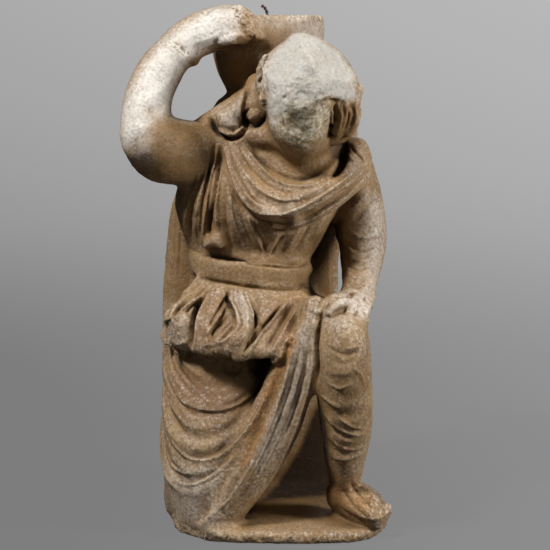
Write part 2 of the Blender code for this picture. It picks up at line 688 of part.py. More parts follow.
def make_statue():
    """All forms are fused into one skin, carved, thinned out and cut level underneath."""
    clay = bmesh.new()
    for make in (plinth, kneeling_leg, raised_leg, torso, belt, skirt, tunic_knot, mantle,
                 neck_and_head, hair, carrying_pad, vessel, raised_arm, resting_arm,
                 drapery_fall, cloak):
        make(clay)
    mesh = bpy.data.meshes.new("statue")
    clay.to_mesh(mesh)
    clay.free()
    statue = bpy.data.objects.new("statue", mesh)
    bpy.context.scene.collection.objects.link(statue)
    fuse(statue, smoothing=3)
    carve(statue.data, FRONT, FRONT_LINES)
    carve(statue.data, BACK, BACK_LINES)
    carve(statue.data, RIGHT_SIDE, RIGHT_SIDE_LINES)
    carve(statue.data, LEFT_SIDE, LEFT_SIDE_LINES)
    fuse(statue, smoothing=1)
    thin = statue.modifiers.new("Thin", "DECIMATE")
    thin.ratio = FACES / (2 * len(statue.data.polygons))
    work_in_modifiers(statue)
    level_underside(statue)
    drill_rim(statue)
    statue.data.materials.clear()
    statue.data.materials.append(surface("tan marble", MARBLE, roughness=0.5, metallic=0))
    statue.data.shade_smooth()


def main():
    for obj in list(bpy.data.objects):
        bpy.data.objects.remove(obj)
    make_statue()
    make_wire()


main()
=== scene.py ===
# %% [markdown]
# # The marble water carrier
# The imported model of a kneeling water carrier, one carved block with its vessel and plinth, is
# loaded first as a fixed frame. It has the true outline and the large forms, but only some nine
# thousand faces. This script gives it the surface that a visitor sees from a step away: the small
# folds, the breaks, the wear and the stained marble.

# %% Load the frame
import math
import random

import bmesh
import bpy
import numpy as np
from mathutils import Matrix, Vector, noise
from mathutils.bvhtree import BVHTree
from mathutils.kdtree import KDTree


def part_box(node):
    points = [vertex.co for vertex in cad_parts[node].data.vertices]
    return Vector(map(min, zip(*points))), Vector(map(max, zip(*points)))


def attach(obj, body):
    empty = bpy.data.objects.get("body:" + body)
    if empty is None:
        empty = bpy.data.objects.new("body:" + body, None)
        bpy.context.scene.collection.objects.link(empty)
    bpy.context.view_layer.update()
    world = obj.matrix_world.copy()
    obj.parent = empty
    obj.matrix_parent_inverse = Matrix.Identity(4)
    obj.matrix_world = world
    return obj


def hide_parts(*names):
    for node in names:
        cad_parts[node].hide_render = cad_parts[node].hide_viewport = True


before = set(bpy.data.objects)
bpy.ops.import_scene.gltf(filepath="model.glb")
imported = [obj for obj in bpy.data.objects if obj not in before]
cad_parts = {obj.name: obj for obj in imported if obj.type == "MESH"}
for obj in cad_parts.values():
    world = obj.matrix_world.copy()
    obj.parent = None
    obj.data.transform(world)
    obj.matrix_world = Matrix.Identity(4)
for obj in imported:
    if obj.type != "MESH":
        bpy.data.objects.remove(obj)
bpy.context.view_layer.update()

# %% [markdown]
# ## One unit for the whole figure
# A carver sets a figure out in parts of its own height. The statue is 513.2 shares high here, so
# a share is a millimetre on this one, and every size below is in shares. Were the frame packed
# larger, the carving would grow with it.

# %% Shares of the height
ground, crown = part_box("statue")
HEIGHT_IN_SHARES = 513.2
SHARE = (crown.z - ground.z) / HEIGHT_IN_SHARES
print("one share is", round(SHARE * 1000, 3), "mm")

# %% [markdown]
# ## Views to draw on
# Folds are easiest to place by looking at the figure. A `Sight` is such a look: it has an eye and
# turns a place in the view, across and up in shares, into a ray. The same front sight carries the
# camera later, so a line drawn on it shows up exactly there in the picture.

# %% Sights
EYE_DISTANCE = 1600 * SHARE
EYE_HEIGHT = 480 * SHARE
AIM_HEIGHT = 245.4 * SHARE
AIM_UP = 270


class Sight:
    def __init__(self, azimuth):
        turn = Matrix.Rotation(math.radians(azimuth), 3, "Z")
        self.turn = turn
        self.eye = turn @ Vector((0, -EYE_DISTANCE, EYE_HEIGHT))
        self.ahead = (Vector((0, 0, AIM_HEIGHT)) - self.eye).normalized()
        self.right = turn @ Vector((1, 0, 0))
        self.up = self.right.cross(self.ahead)
        self.far = (Vector((0, 0, AIM_HEIGHT)) - self.eye).length

    def ray(self, across, up):
        aim = self.ahead * self.far
        return (aim + self.right * across * SHARE + self.up * (up - AIM_UP) * SHARE).normalized()

    def point(self, across, up, depth):
        ray = self.ray(across, up)
        level = self.turn @ Vector((0, 1, 0))
        return self.eye + ray * ((EYE_DISTANCE + depth * SHARE) / ray.dot(level))


FRONT = Sight(0)
BACK = Sight(180)
LEFT_SIDE = Sight(90)
RIGHT_SIDE = Sight(-90)
ACROSS = Vector((1, 0, 0))
UPWARD = Vector((0, 0, 1))

# %% [markdown]
# ## The camera
# The picture is square, so the lens follows from the width that the view takes in at the aim:
# a lens of that length shows 550 shares over the sensor's width.

# %% Camera
VIEW_WIDTH = 550 * SHARE
SENSOR_WIDTH = 36


def add_object(name, data):
    obj = bpy.data.objects.new(name, data)
    bpy.context.scene.collection.objects.link(obj)
    return obj


camera_data = bpy.data.cameras.new("camera")
camera_data.sensor_width = SENSOR_WIDTH
camera_data.lens = SENSOR_WIDTH * FRONT.far / VIEW_WIDTH
camera = add_object("camera", camera_data)
camera.location = FRONT.eye
camera.rotation_euler = FRONT.ahead.to_track_quat("-Z", "Y").to_euler()
bpy.context.scene.camera = camera
print("lens", round(camera_data.lens, 1), "mm")

# %% [markdown]
# ## Rolled forms
# Fingers, locks of hair and the tight little rolls of cloth are round and change thickness as
# they go. Each is skinned over rings of points that are set across a smooth curve. A curve object
# with a bevel would do for one roll, but a mesh can be fused with the marble around it. A station
# of a limb is its place on the front sight (across, up, depth), its half width and its half
# thickness; a roll is as thick as it is wide, so it needs one radius.

# %% Rolls
RING_POINTS = 14
SPAN_STEPS = 6
CAP_STEPS = 3
CAP_TURN = math.radians(80)


def smooth_path(rows, steps):
    rows = np.array(rows, float)
    padded = np.vstack([2 * rows[0] - rows[1], rows, 2 * rows[-1] - rows[-2]])
    curve = []
    for first in range(len(rows) - 1):
        a, b, c, d = padded[first : first + 4]
        for t in np.linspace(0, 1, steps, endpoint=False):
            curve.append(
                0.5 * (2 * b + (c - a) * t + (2 * a - 5 * b + 4 * c - d) * t**2
                       + (3 * b - a - 3 * c + d) * t**3)
            )
    curve.append(rows[-1])
    return np.array(curve)


def turns(count):
    return [math.tau * i / count for i in range(count)]


def skin(clay, rings):
    made = [[clay.verts.new(point) for point in ring] for ring in rings]
    count = len(made[0])
    faces = [clay.faces.new(made[0][::-1]), clay.faces.new(made[-1])]
    for lower, upper in zip(made, made[1:]):
        for i in range(count):
            j = (i + 1) % count
            faces.append(clay.faces.new((lower[i], lower[j], upper[j], upper[i])))
    bmesh.ops.recalc_face_normals(clay, faces=faces)


def clay_object(name, clay):
    mesh = bpy.data.meshes.new(name)
    clay.to_mesh(mesh)
    clay.free()
    return add_object(name, mesh)


def limb(clay, stations, side=ACROSS):
    rows = [(*FRONT.point(a, u, d), w * SHARE, t * SHARE) for a, u, d, w, t in stations]
    rows = smooth_path(rows, SPAN_STEPS)
    tangents = [Vector(v).normalized() for v in np.gradient(rows[:, :3], axis=0)]
    pile = [(Vector(row[:3]), (row[3], row[4]), along) for row, along in zip(rows, tangents)]
    for end, sign in ((0, -1), (-1, 1)):
        centre, (w, t), along = pile[end]
        cap = []
        for step in range(1, CAP_STEPS + 1):
            angle = CAP_TURN * step / CAP_STEPS
            shift = along * (sign * min(w, t) * math.sin(angle))
            cap.append((centre + shift, (w * math.cos(angle), t * math.cos(angle)), along))
        pile = cap[::-1] + pile if end == 0 else pile + cap
    rings = []
    for centre, (w, t), along in pile:
        wide = (side - along * side.dot(along)).normalized()
        deep = along.cross(wide)
        rings.append([
            centre + wide * (w * math.cos(a)) + deep * (t * math.sin(a))
            for a in turns(RING_POINTS)
        ])
    skin(clay, rings)


def roll(clay, stations):
    limb(clay, [(a, u, d, r, r) for a, u, d, r in stations])


# %% [markdown]
# ## From the solid to clay
# The solid's nine thousand flat faces would show as facets. A voxel remesh gives it an even skin
# of small quads, and smoothing melts the facets away. Small forms would melt too, so they are
# added after this step and fused by a second remesh with hardly any smoothing.

# %% Clay
ROUGH_GRAIN = 0.0020
FINE_GRAIN = 0.00125
FACET_SMOOTHING = 14
SEAM_SMOOTHING = 2
WELD = 1e-6


def work_in_modifiers(obj):
    graph = bpy.context.evaluated_depsgraph_get()
    mesh = bpy.data.meshes.new_from_object(obj.evaluated_get(graph), depsgraph=graph)
    obj.modifiers.clear()
    obj.data = mesh


def fuse(obj, grain, smoothing):
    remesh = obj.modifiers.new("Fuse", "REMESH")
    remesh.mode = "VOXEL"
    remesh.voxel_size = grain
    smooth = obj.modifiers.new("Smooth", "SMOOTH")
    smooth.factor = 0.5
    smooth.iterations = smoothing
    work_in_modifiers(obj)


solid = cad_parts["statue"]
clay = bmesh.new()
clay.from_mesh(solid.data)
bmesh.ops.remove_doubles(clay, verts=clay.verts, dist=WELD)
statue = clay_object("carved_statue", clay)
fuse(statue, ROUGH_GRAIN, FACET_SMOOTHING)
print("clay has", len(statue.data.polygons), "quads")

# %% [markdown]
# ## Small forms that stand free
# The hands, the hair, the lappet of the pad and the foot have forms too small for the solid.
# They are rolls and short limbs at the places where the front view shows them, each sunk into the
# big form behind it, so that the fusing leaves no gap.

# %% Small forms
def back_of_hand(clay):
    limb(clay, [(-89, 505, -8, 14, 14), (-70, 512, -4, 17, 16), (-51, 518, 0, 19, 17),
                (-38, 519, 2, 17, 15)], side=Vector((0.3, 0, 1)))
    roll(clay, [(-37, 536, 0, 5), (-27, 528, 0, 6), (-19, 518, -2, 6), (-14, 508, -4, 5)])
    roll(clay, [(-53, 505, -12, 6), (-39, 507, -12, 6), (-31, 505, -10, 5)])
    roll(clay, [(-89, 495, -14, 5), (-84, 489, -12, 5), (-79, 485, -8, 4)])


def pad_lappet(clay):
    limb(clay, [(-23, 449, -12, 15, 7), (-35, 441, -18, 18, 7), (-44, 431, -24, 16, 7),
                (-47, 422, -26, 12, 6)], side=Vector((1, 0, 1)))
    corner = [(-18, 463, -13, 11, 9), (-22, 451, -20, 12, 8), (-26, 440, -26, 11, 7)]
    limb(clay, corner, side=Vector((1, 0, 1)))
    roll_end = [(-26, 435, -29, 6, 6), (-21, 430, -31, 7, 6), (-15, 435, -30, 6, 6)]
    limb(clay, roll_end, side=UPWARD)


def hair_locks(clay):
    for lock in (
        [(73, 453, -62, 7), (68, 439, -64, 6), (66, 425, -62, 6), (61, 414, -56, 5)],
        [(81, 455, -50, 7), (78, 439, -54, 7), (79, 425, -52, 6), (72, 413, -48, 5)],
        [(62, 449, -70, 5), (59, 437, -70, 4), (60, 423, -64, 4)],
        [(81, 433, -42, 6), (77, 419, -42, 6), (68, 409, -40, 6), (58, 404, -40, 5)],
        [(69, 417, -50, 5), (61, 409, -48, 5), (54, 404, -46, 4)],
        [(-7, 485, -58, 6), (-12, 477, -56, 5), (-14, 468, -54, 5)],
        [(-12, 471, -58, 4), (-16, 462, -54, 4), (-13, 452, -52, 4)],
        [(-8, 457, -60, 4), (-12, 446, -58, 4), (-9, 435, -54, 4)],
    ):
        roll(clay, lock)


def resting_hand(clay):
    for finger in (
        [(72, 246, -60, 5), (61, 247, -68, 5), (51, 243, -78, 4), (44, 233, -86, 3)],
        [(77, 241, -66, 6), (67, 242, -76, 5), (59, 238, -84, 4), (54, 232, -90, 3)],
        [(83, 245, -62, 6), (77, 236, -74, 5), (74, 229, -82, 4)],
        [(91, 239, -60, 6), (88, 229, -68, 5), (86, 223, -74, 4)],
    ):
        roll(clay, finger)
    roll(clay, [(65, 250, -50, 4), (77, 253, -54, 4), (88, 248, -54, 4), (96, 240, -44, 4)])


def worn_foot(clay):
    limb(clay, [(69, 45, -52, 11, 16), (79, 37, -64, 12, 15), (89, 30, -76, 12, 12),
                (100, 26, -86, 11, 9)], side=Vector((1, 0.8, 0)))
    limb(clay, [(75, 61, -54, 10, 9), (85, 52, -66, 10, 9), (97, 41, -80, 10, 8)],
         side=Vector((1, 0.8, 0)))
    roll(clay, [(101, 23, -86, 8), (109, 31, -84, 7), (112, 37, -80, 5)])


clay = bmesh.new()
clay.from_mesh(statue.data)
for make in (back_of_hand, pad_lappet, hair_locks, resting_hand, worn_foot):
    make(clay)
clay.to_mesh(statue.data)
clay.free()
fuse(statue, FINE_GRAIN, SEAM_SMOOTHING)
print("fused clay has", len(statue.data.polygons), "quads")

# %% [markdown]
# ## Carving along drawn lines
# A chisel follows lines, so the folds are drawn as lines on a sight: width, height and places.
# Each line is cast onto the skin, and the vertices beside it are pushed out for a ridge or in for
# a groove. A displacement image could do the same, but lines stay sharp and easy to change.

# %% Carving
LINE_STEPS = 10
TAPER = 4
TIP = 0.1
SHARPNESS = 0.6
ALONG_LINE = 0.6
FACING_GAIN = 2


def read_skin(mesh):
    points = np.array([v.co for v in mesh.vertices])
    normals = np.array([v.normal for v in mesh.vertices])
    return points, normals


def write_skin(mesh, points):
    mesh.vertices.foreach_set("co", points.ravel())
    mesh.update()


def spots_on_skin(tree, sight, line):
    spots = []
    path = smooth_path(line, LINE_STEPS)
    for share, (across, up) in zip(np.linspace(0, 1, len(path)), path):
        spot, normal = tree.ray_cast(sight.eye, sight.ray(across, up))[:2]
        if spot is not None:
            spots.append((*spot, *normal, min(1, TAPER * min(share, 1 - share) + TIP)))
    return np.array(spots)


def nearness(points, spots, reach):
    low = spots[:, :3].min(axis=0) - reach
    high = spots[:, :3].max(axis=0) + reach
    near = np.where(((points > low) & (points < high)).all(axis=1))[0]
    here = points[near]
    nearest = np.full(len(near), np.inf)
    pull = np.zeros(len(near))
    facing = np.zeros((len(near), 3))
    for first, last in zip(spots, spots[1:]):
        run = last[:3] - first[:3]
        if np.linalg.norm(run) > 3 * reach:
            continue
        t = np.clip((here - first[:3]) @ run / max(run @ run, 1e-12), 0, 1)
        away = np.linalg.norm(here - (first[:3] + t[:, None] * run), axis=1)
        closer = away < nearest
        nearest = np.where(closer, away, nearest)
        pull = np.where(closer, first[6] + (last[6] - first[6]) * t, pull)
        facing = np.where(closer[:, None], first[3:6], facing)
    return near, np.clip(1 - nearest / reach, 0, 1), pull, facing


def push_along(points, normals, spots, reach, height):
    near, share, pull, facing = nearness(points, spots, reach)
    ridge = SHARPNESS * share**2 + (1 - SHARPNESS) * share * share * (3 - 2 * share)
    groove = share * share * (3 - 2 * share)
    outward = normals[near]
    same_side = np.clip((outward * facing).sum(axis=1) * FACING_GAIN, 0, 1)
    amount = (ridge if height > 0 else groove) * pull * same_side * height
    way = facing * ALONG_LINE + outward * (1 - ALONG_LINE)
    points[near] += way * amount[:, None]


def skin_tree(mesh):
    return BVHTree.FromPolygons([v.co for v in mesh.vertices], [p.vertices for p in mesh.polygons])


def carve(mesh, sight, lines):
    tree = skin_tree(mesh)
    points, normals = read_skin(mesh)
    for width, height, line in lines:
        spots = spots_on_skin(tree, sight, line)
        if len(spots) > 1:
            push_along(points, normals, spots, width * SHARE, height * SHARE)
    write_skin(mesh, points)


# %% [markdown]
# ## The clothes above the belt
# The tunic falls from the shoulders in long narrow folds and bulges over the belt. The mantle
# lies over it like a cowl: thin bright crests with soft cloth slung between them. Every row is a
# width, a height and the places of one line; a height below zero is a groove. A sharp crest beside
# a narrow groove looks like undercut cloth, which a sculpting brush would need many strokes for.

# %% Tunic and mantle
TUNIC = [
    (3, -6, [(-52, 400), (-57, 373), (-62, 345), (-65, 323), (-66, 307)]),
    (2.4, 3, [(-56, 405), (-62, 375), (-68, 345), (-71, 323), (-72, 301)]),
    (2, -3, [(-60, 399), (-66, 373), (-72, 343), (-75, 321), (-76, 303)]),
    (2.4, 2.6, [(-64, 393), (-71, 365), (-77, 339), (-79, 317), (-79, 299)]),
    (3, -4, [(-71, 373), (-80, 349), (-85, 327), (-84, 301)]),
    (3, 2, [(-77, 365), (-86, 343), (-90, 321), (-87, 299)]),
    (2.6, 2, [(-53, 385), (-57, 355), (-59, 330), (-56, 309)]),
    (2.4, -2, [(-47, 373), (-50, 347), (-49, 323), (-42, 297)]),
    (2.6, 1.6, [(-43, 363), (-44, 341), (-39, 317), (-29, 293)]),
    (2.4, -1.2, [(-37, 349), (-34, 329), (-27, 309), (-19, 292)]),
    (2.4, 2.6, [(-28, 331), (-22, 315), (-16, 302), (-11, 291)]),
    (2, -1.6, [(-23, 329), (-18, 315), (-12, 303), (-8, 293)]),
    (2.4, -1.6, [(-107, 345), (-109, 305), (-110, 257)]),
    (2.4, -1.6, [(-100, 340), (-101, 305), (-103, 261)]),
    (2.4, -1.4, [(-94, 330), (-95, 300), (-97, 265)]),
    (2.4, 2.2, [(5, 313), (-2, 303), (-9, 291)]),
    (2.2, -2, [(9, 311), (2, 300), (-5, 289)]),
    (3, 1.4, [(26, 319), (18, 305), (8, 291)]),
    (3, -1.4, [(36, 323), (28, 307), (18, 291)]),
    (3, 1.2, [(49, 329), (40, 311), (29, 293)]),
    (2.6, -3.5, [(-83, 295), (-70, 291), (-50, 287), (-25, 282), (5, 278), (23, 279), (36, 285)]),
]
MANTLE = [
    (2.6, 4, [(-53, 405), (-48, 387), (-42, 369), (-34, 352), (-25, 340), (-13, 333), (5, 331),
              (23, 336), (41, 346), (57, 357), (71, 367), (85, 379)]),
    (2.2, -3.5, [(-48, 403), (-43, 387), (-37, 370), (-29, 355), (-19, 345), (-5, 338)]),
    (4, -4, [(-51, 373), (-44, 355), (-34, 339), (-21, 327), (-5, 321), (13, 321)]),
    (2.4, 3, [(-37, 409), (-27, 394), (-16, 380), (-3, 367), (11, 360), (26, 358), (41, 361),
              (53, 369)]),
    (2.2, -3, [(-32, 409), (-22, 396), (-11, 384), (3, 373), (18, 367), (33, 367), (45, 373)]),
    (2.2, -2, [(-40, 405), (-30, 388), (-19, 373), (-6, 361), (9, 354), (25, 353)]),
    (2.6, 1.6, [(-43, 395), (-34, 378), (-23, 363), (-9, 351), (8, 345), (24, 347), (40, 355)]),
    (6, -8, [(69, 402), (69, 389), (64, 377), (56, 369)]),
    (2.4, -4.5, [(74, 402), (80, 394), (86, 388), (91, 382)]),
    (2.6, 2, [(71, 395), (77, 385), (83, 379)]),
    (2.6, 2.4, [(90, 375), (77, 364), (63, 355), (47, 345), (31, 336), (15, 329)]),
    (2.2, -2.6, [(91, 370), (78, 358), (64, 348), (48, 338), (33, 330)]),
    (2.6, 2.6, [(-11, 319), (5, 318), (23, 321), (41, 329), (56, 338), (71, 348), (83, 358)]),
    (2.4, -3, [(-9, 314), (7, 313), (25, 316), (43, 324), (58, 333)]),
]
PAD = [
    (3, -6, [(-64, 426), (-60, 418), (-55, 411), (-46, 406), (-36, 408), (-30, 416), (-27, 423)]),
    (3, 3, [(-67, 430), (-60, 425), (-56, 417), (-49, 412), (-40, 411), (-34, 415), (-30, 425)]),
    (2, -4, [(-29, 424), (-30, 432), (-25, 438)]),
    (2.4, -5, [(-26, 421), (-19, 419), (-12, 424), (-9, 433)]),
]
carve(statue.data, FRONT, TUNIC + MANTLE + PAD)

# %% [markdown]
# ## The skirt
# Below the belt the cloth bunches over a second, hidden cord. One broad fold turns over like an S,
# thin crests run down beside it, and deep cuts part them. The deepest cut, on the left, goes in
# twice as far as the crests stand out, because a shadow tells more about cloth than a ridge does.

# %% Skirt
SKIRT = [
    (2.8, -4, [(-81, 269), (-70, 266), (-53, 263), (-35, 260), (-10, 257), (15, 256), (33, 260)]),
    (2.6, 3.2, [(-68, 266), (-78, 255), (-89, 247), (-98, 239), (-104, 230), (-103, 221)]),
    (2.2, -3, [(-67, 262), (-76, 252), (-87, 244), (-96, 236), (-100, 228)]),
    (2.4, 2.4, [(-65, 259), (-73, 249), (-84, 242), (-93, 234), (-97, 226)]),
    (3, -4, [(-67, 254), (-75, 245), (-85, 238), (-91, 230)]),
    (4, -8, [(-70, 251), (-77, 238), (-82, 223), (-84, 208), (-87, 191)]),
    (3.5, 2.6, [(-67, 249), (-73, 237), (-78, 222), (-79, 201)]),
    (4, 1.4, [(-56, 261), (-61, 245), (-67, 227), (-70, 205)]),
    (3, -3, [(-49, 247), (-55, 237), (-62, 226), (-66, 217)]),
    (3.2, 3, [(-47, 243), (-54, 232), (-62, 222), (-68, 211), (-68, 197)]),
    (2.4, -3.5, [(-45, 233), (-53, 223), (-61, 214), (-63, 205)]),
    (2.4, 3, [(-42, 227), (-50, 218), (-58, 209)]),
    (2.4, -3.5, [(-41, 220), (-48, 212), (-56, 205)]),
    (2.6, 3, [(-41, 214), (-48, 206), (-56, 202), (-62, 206)]),
    (2.6, -5, [(-47, 255), (-47, 242), (-42, 231), (-41, 220)]),
    (2.6, 4, [(-43, 260), (-43, 245), (-38, 233), (-36, 220), (-41, 211)]),
    (8, 4.0, [(-35, 259), (-34, 247), (-29, 234), (-28, 222), (-32, 209), (-39, 195)]),
    (6, -3, [(-13, 223), (-19, 213), (-26, 201)]),
    (9, 2.5, [(-99, 223), (-98, 213), (-99, 202)]),
    (9, 2.5, [(-63, 199), (-53, 195), (-43, 187)]),
    (2.2, -2, [(-37, 259), (-37, 246), (-33, 235)]),
    (2.4, 2.2, [(-29, 259), (-28, 247), (-23, 234), (-23, 220)]),
    (3, -5, [(-25, 249), (-20, 234), (-19, 220), (-25, 204), (-32, 190)]),
    (3, -4.5, [(8, 242), (-5, 226), (-16, 213), (-27, 198)]),
    (2.8, 4, [(17, 248), (2, 230), (-11, 215), (-22, 200), (-29, 187)]),
    (5, -3.5, [(21, 242), (9, 225), (-1, 209), (-11, 193)]),
    (2.6, 2.2, [(27, 245), (18, 231), (9, 215), (0, 199), (-9, 185)]),
    (3, -2.2, [(28, 239), (21, 225), (13, 210)]),
    (5, 1.5, [(-13, 253), (-13, 239), (-17, 227)]),
    (5, 1.2, [(3, 251), (-3, 241), (-11, 231)]),
    (3, 3, [(15, 209), (9, 200), (3, 187), (-7, 181)]),
    (2.2, -2.5, [(21, 254), (29, 259), (38, 253)]),
]
carve(statue.data, FRONT, SKIRT)

# %% [markdown]
# ## The legs
# Over the kneeling leg the cloth hangs in slings, like loops of a slack rope, each lower one wider.
# Between the legs a band of folds falls in long curves that nearly meet at the ground. On the shin
# the cloth is tight and makes short ripples, and the foot has worn strap-like edges.

# %% Kneeling leg and fall
LEG = [
    (4, 2.5, [(-103, 163), (-97, 149), (-85, 140), (-70, 136), (-53, 136), (-37, 141), (-24, 151),
              (-15, 163)]),
    (3, 2.5, [(-109, 120), (-103, 105), (-94, 93), (-83, 86), (-70, 85), (-56, 89), (-42, 99),
              (-28, 115), (-16, 134), (-7, 153), (2, 174)]),
    (3, 2, [(-109, 90), (-102, 79), (-92, 73), (-82, 71)]),
    (3, 2.2, [(-105, 67), (-89, 60), (-74, 63), (-60, 71), (-47, 82), (-36, 93)]),
    (6, -1.0, [(-105, 145), (-95, 129), (-78, 121), (-58, 123), (-39, 132), (-25, 142)]),
    (5, -1.0, [(-106, 97), (-93, 82), (-75, 77), (-57, 82), (-41, 93)]),
    (5, 0.8, [(-97, 175), (-85, 161), (-67, 154), (-47, 155), (-31, 164)]),
]
FALL = [
    (7, -3.0, [(9, 183), (1, 157), (-9, 133), (-19, 111), (-29, 89), (-40, 65), (-53, 43)]),
    (2.6, 2.6, [(21, 210), (15, 185), (9, 160), (0, 135), (-10, 111), (-21, 87), (-34, 64),
                (-47, 45), (-63, 31), (-75, 23)]),
    (2.4, -1.6, [(25, 200), (20, 175), (14, 153), (5, 129), (-5, 105), (-16, 82), (-29, 59)]),
    (2.4, 1.2, [(29, 210), (26, 180), (20, 155), (12, 131), (2, 107), (-9, 84), (-22, 61),
                (-35, 42)]),
    (2.4, -1.6, [(33, 200), (30, 173), (24, 148), (16, 125), (6, 101)]),
    (2.8, 2.2, [(38, 215), (38, 187), (34, 159), (27, 135), (18, 112), (8, 90), (-4, 68),
                (-18, 48), (-34, 31)]),
    (3, -1.4, [(11, 165), (6, 147), (-1, 130)]),
    (3, -6, [(48, 233), (44, 217), (42, 200), (43, 180), (41, 160)]),
    (2.2, 1.6, [(28, 246), (25, 233), (22, 215)]),
    (2.2, 1.6, [(35, 247), (33, 233), (30, 215)]),
    (2.2, 1.6, [(43, 245), (40, 231), (37, 215)]),
]
SHIN = [
    (4, -1.8, [(51, 200), (61, 194), (72, 190), (82, 195)]),
    (3, 1.0, [(53, 207), (63, 204), (75, 203), (83, 207)]),
    (6, -1.6, [(55, 187), (67, 181), (80, 185)]),
    (5, 1.2, [(50, 175), (65, 171), (81, 175)]),
    (3, 2.2, [(45, 151), (55, 143), (67, 136)]),
    (3, 1.8, [(49, 165), (65, 157), (81, 165)]),
    (3, 2.2, [(47, 133), (61, 119), (76, 111), (90, 110)]),
    (2.5, 2.0, [(63, 129), (76, 119), (90, 117)]),
    (3, 2.0, [(53, 109), (65, 99), (79, 96), (90, 100)]),
    (2.5, 2.0, [(57, 88), (72, 86), (89, 93)]),
    (3.5, -1.2, [(51, 125), (65, 111), (83, 104)]),
    (3.5, -1.2, [(55, 97), (71, 91), (87, 95)]),
    (3, 1.5, [(77, 179), (87, 169), (91, 155)]),
    (2.4, 2.2, [(78, 66), (87, 56), (97, 47), (107, 41)]),
    (2, -3, [(75, 62), (84, 51), (94, 41), (102, 36)]),
    (2.4, 2.2, [(71, 60), (80, 47), (90, 36), (96, 30)]),
    (2, -3, [(68, 55), (77, 42), (86, 32), (92, 26)]),
    (2, -2.5, [(86, 58), (80, 51)]),
    (2, -2.5, [(95, 48), (89, 41)]),
    (3, -3, [(109, 41), (103, 34), (97, 26)]),
]
carve(statue.data, FRONT, LEG + FALL + SHIN)

# %% [markdown]
# ## The arms
# The raised arm is bare: two broad, faint lines show its muscles, and a rim ends the short sleeve
# at the wrist. The other sleeve is gathered at the elbow in level ripples.

# %% Arms
ARMS = [
    (9, 1.4, [(-101, 467), (-117, 453), (-135, 439), (-147, 425)]),
    (8, -1.2, [(-107, 445), (-123, 433), (-137, 417)]),
    (4, 1.5, [(-109, 501), (-99, 493), (-91, 483), (-87, 475)]),
    (3, -1.5, [(-103, 505), (-92, 497), (-83, 487)]),
    (6, 1.2, [(-79, 501), (-63, 507), (-47, 515)]),
    (5, -1.5, [(-43, 533), (-35, 523), (-29, 511), (-27, 499)]),
    (4, 2, [(75, 313), (88, 307), (103, 311)]),
    (4, -2, [(71, 301), (85, 295), (101, 298)]),
    (4, 2, [(69, 291), (85, 284), (101, 288)]),
    (4, -2, [(68, 283), (83, 275), (99, 280)]),
    (4, 2, [(67, 275), (83, 267), (99, 272)]),
    (4, -2, [(67, 265), (82, 258), (97, 264)]),
    (3, 2.5, [(65, 248), (77, 252), (89, 247), (97, 238)]),
    (5, 2, [(70, 330), (85, 345), (97, 359)]),
    (5, -2, [(77, 323), (91, 337), (103, 347)]),
    (5, 1.5, [(87, 317), (99, 329), (108, 337)]),
]
carve(statue.data, FRONT, ARMS)

# %% [markdown]
# ## Back and sides
# A figure that stood against a wall has a plain back. The cloak hangs there in long shallow
# folds, so each field is a fan: lines between a first and a last one, ridges and grooves in turn.
# They are drawn from behind and from both sides, with the same tool as the front.

# %% Back and sides
GROOVE_TO_RIDGE = -1.2


def fan(width, height, first, last, count):
    first, last = np.array(first, float), np.array(last, float)
    heights = (height, GROOVE_TO_RIDGE * height)
    shares = np.linspace(0, 1, count)
    return [(width, heights[i % 2], first + (last - first) * t) for i, t in enumerate(shares)]


BACK_LINES = fan(4.5, 1.8, [(-36, 388), (-54, 250), (-56, 30)], [(66, 395), (100, 250), (98, 30)], 15)
RIGHT_SIDE_LINES = (
    fan(4, 1.6, [(84, 160), (40, 185), (-10, 200)], [(84, 50), (40, 62), (-44, 120)], 11)
    + fan(3.5, 1.8, [(-40, 262), (-50, 205)], [(60, 262), (74, 205)], 15)
    + fan(4, 1.8, [(-70, 370), (-68, 200), (-74, 30)], [(-92, 370), (-94, 200), (-98, 30)], 5)
)
LEFT_SIDE_LINES = (
    fan(4, 1.6, [(-84, 232), (-40, 238), (30, 225)], [(-62, 196), (-20, 176), (40, 178)], 9)
    + fan(4, 1.8, [(62, 350), (66, 200), (74, 30)], [(88, 350), (92, 200), (98, 30)], 5)
)
carve(statue.data, BACK, BACK_LINES)
carve(statue.data, RIGHT_SIDE, RIGHT_SIDE_LINES)
carve(statue.data, LEFT_SIDE, LEFT_SIDE_LINES)
print("side and back lines", len(BACK_LINES) + len(RIGHT_SIDE_LINES) + len(LEFT_SIDE_LINES))

# %% [markdown]
# ## Breaks and wear
# The front of the head is broken away, and the fingers, the hem and the plinth's edge are worn
# to lumps. Such zones are masks, drawn on the front view as a patch or as a line with a reach.
# `patch` asks for every vertex how far inside a drawn outline it is seen; `band` asks how near it
# is to a drawn line. Both give shares from 0 to 1, so a zone can fade out.

# %% Zones
RIM_GAIN = 4


def seen_at(sight, points):
    sightline = points - np.array(sight.eye)
    scale = sight.far / SHARE / (sightline @ np.array(sight.ahead))
    across = (sightline @ np.array(sight.right)) * scale
    up = (sightline @ np.array(sight.up)) * scale + AIM_UP
    return np.column_stack([across, up])


def toward_eye(sight, points):
    toward = np.array(sight.eye) - points
    return toward / np.linalg.norm(toward, axis=1)[:, None]


def turned_to(sight, points, normals):
    return np.clip((normals * toward_eye(sight, points)).sum(axis=1) * RIM_GAIN, 0, 1)


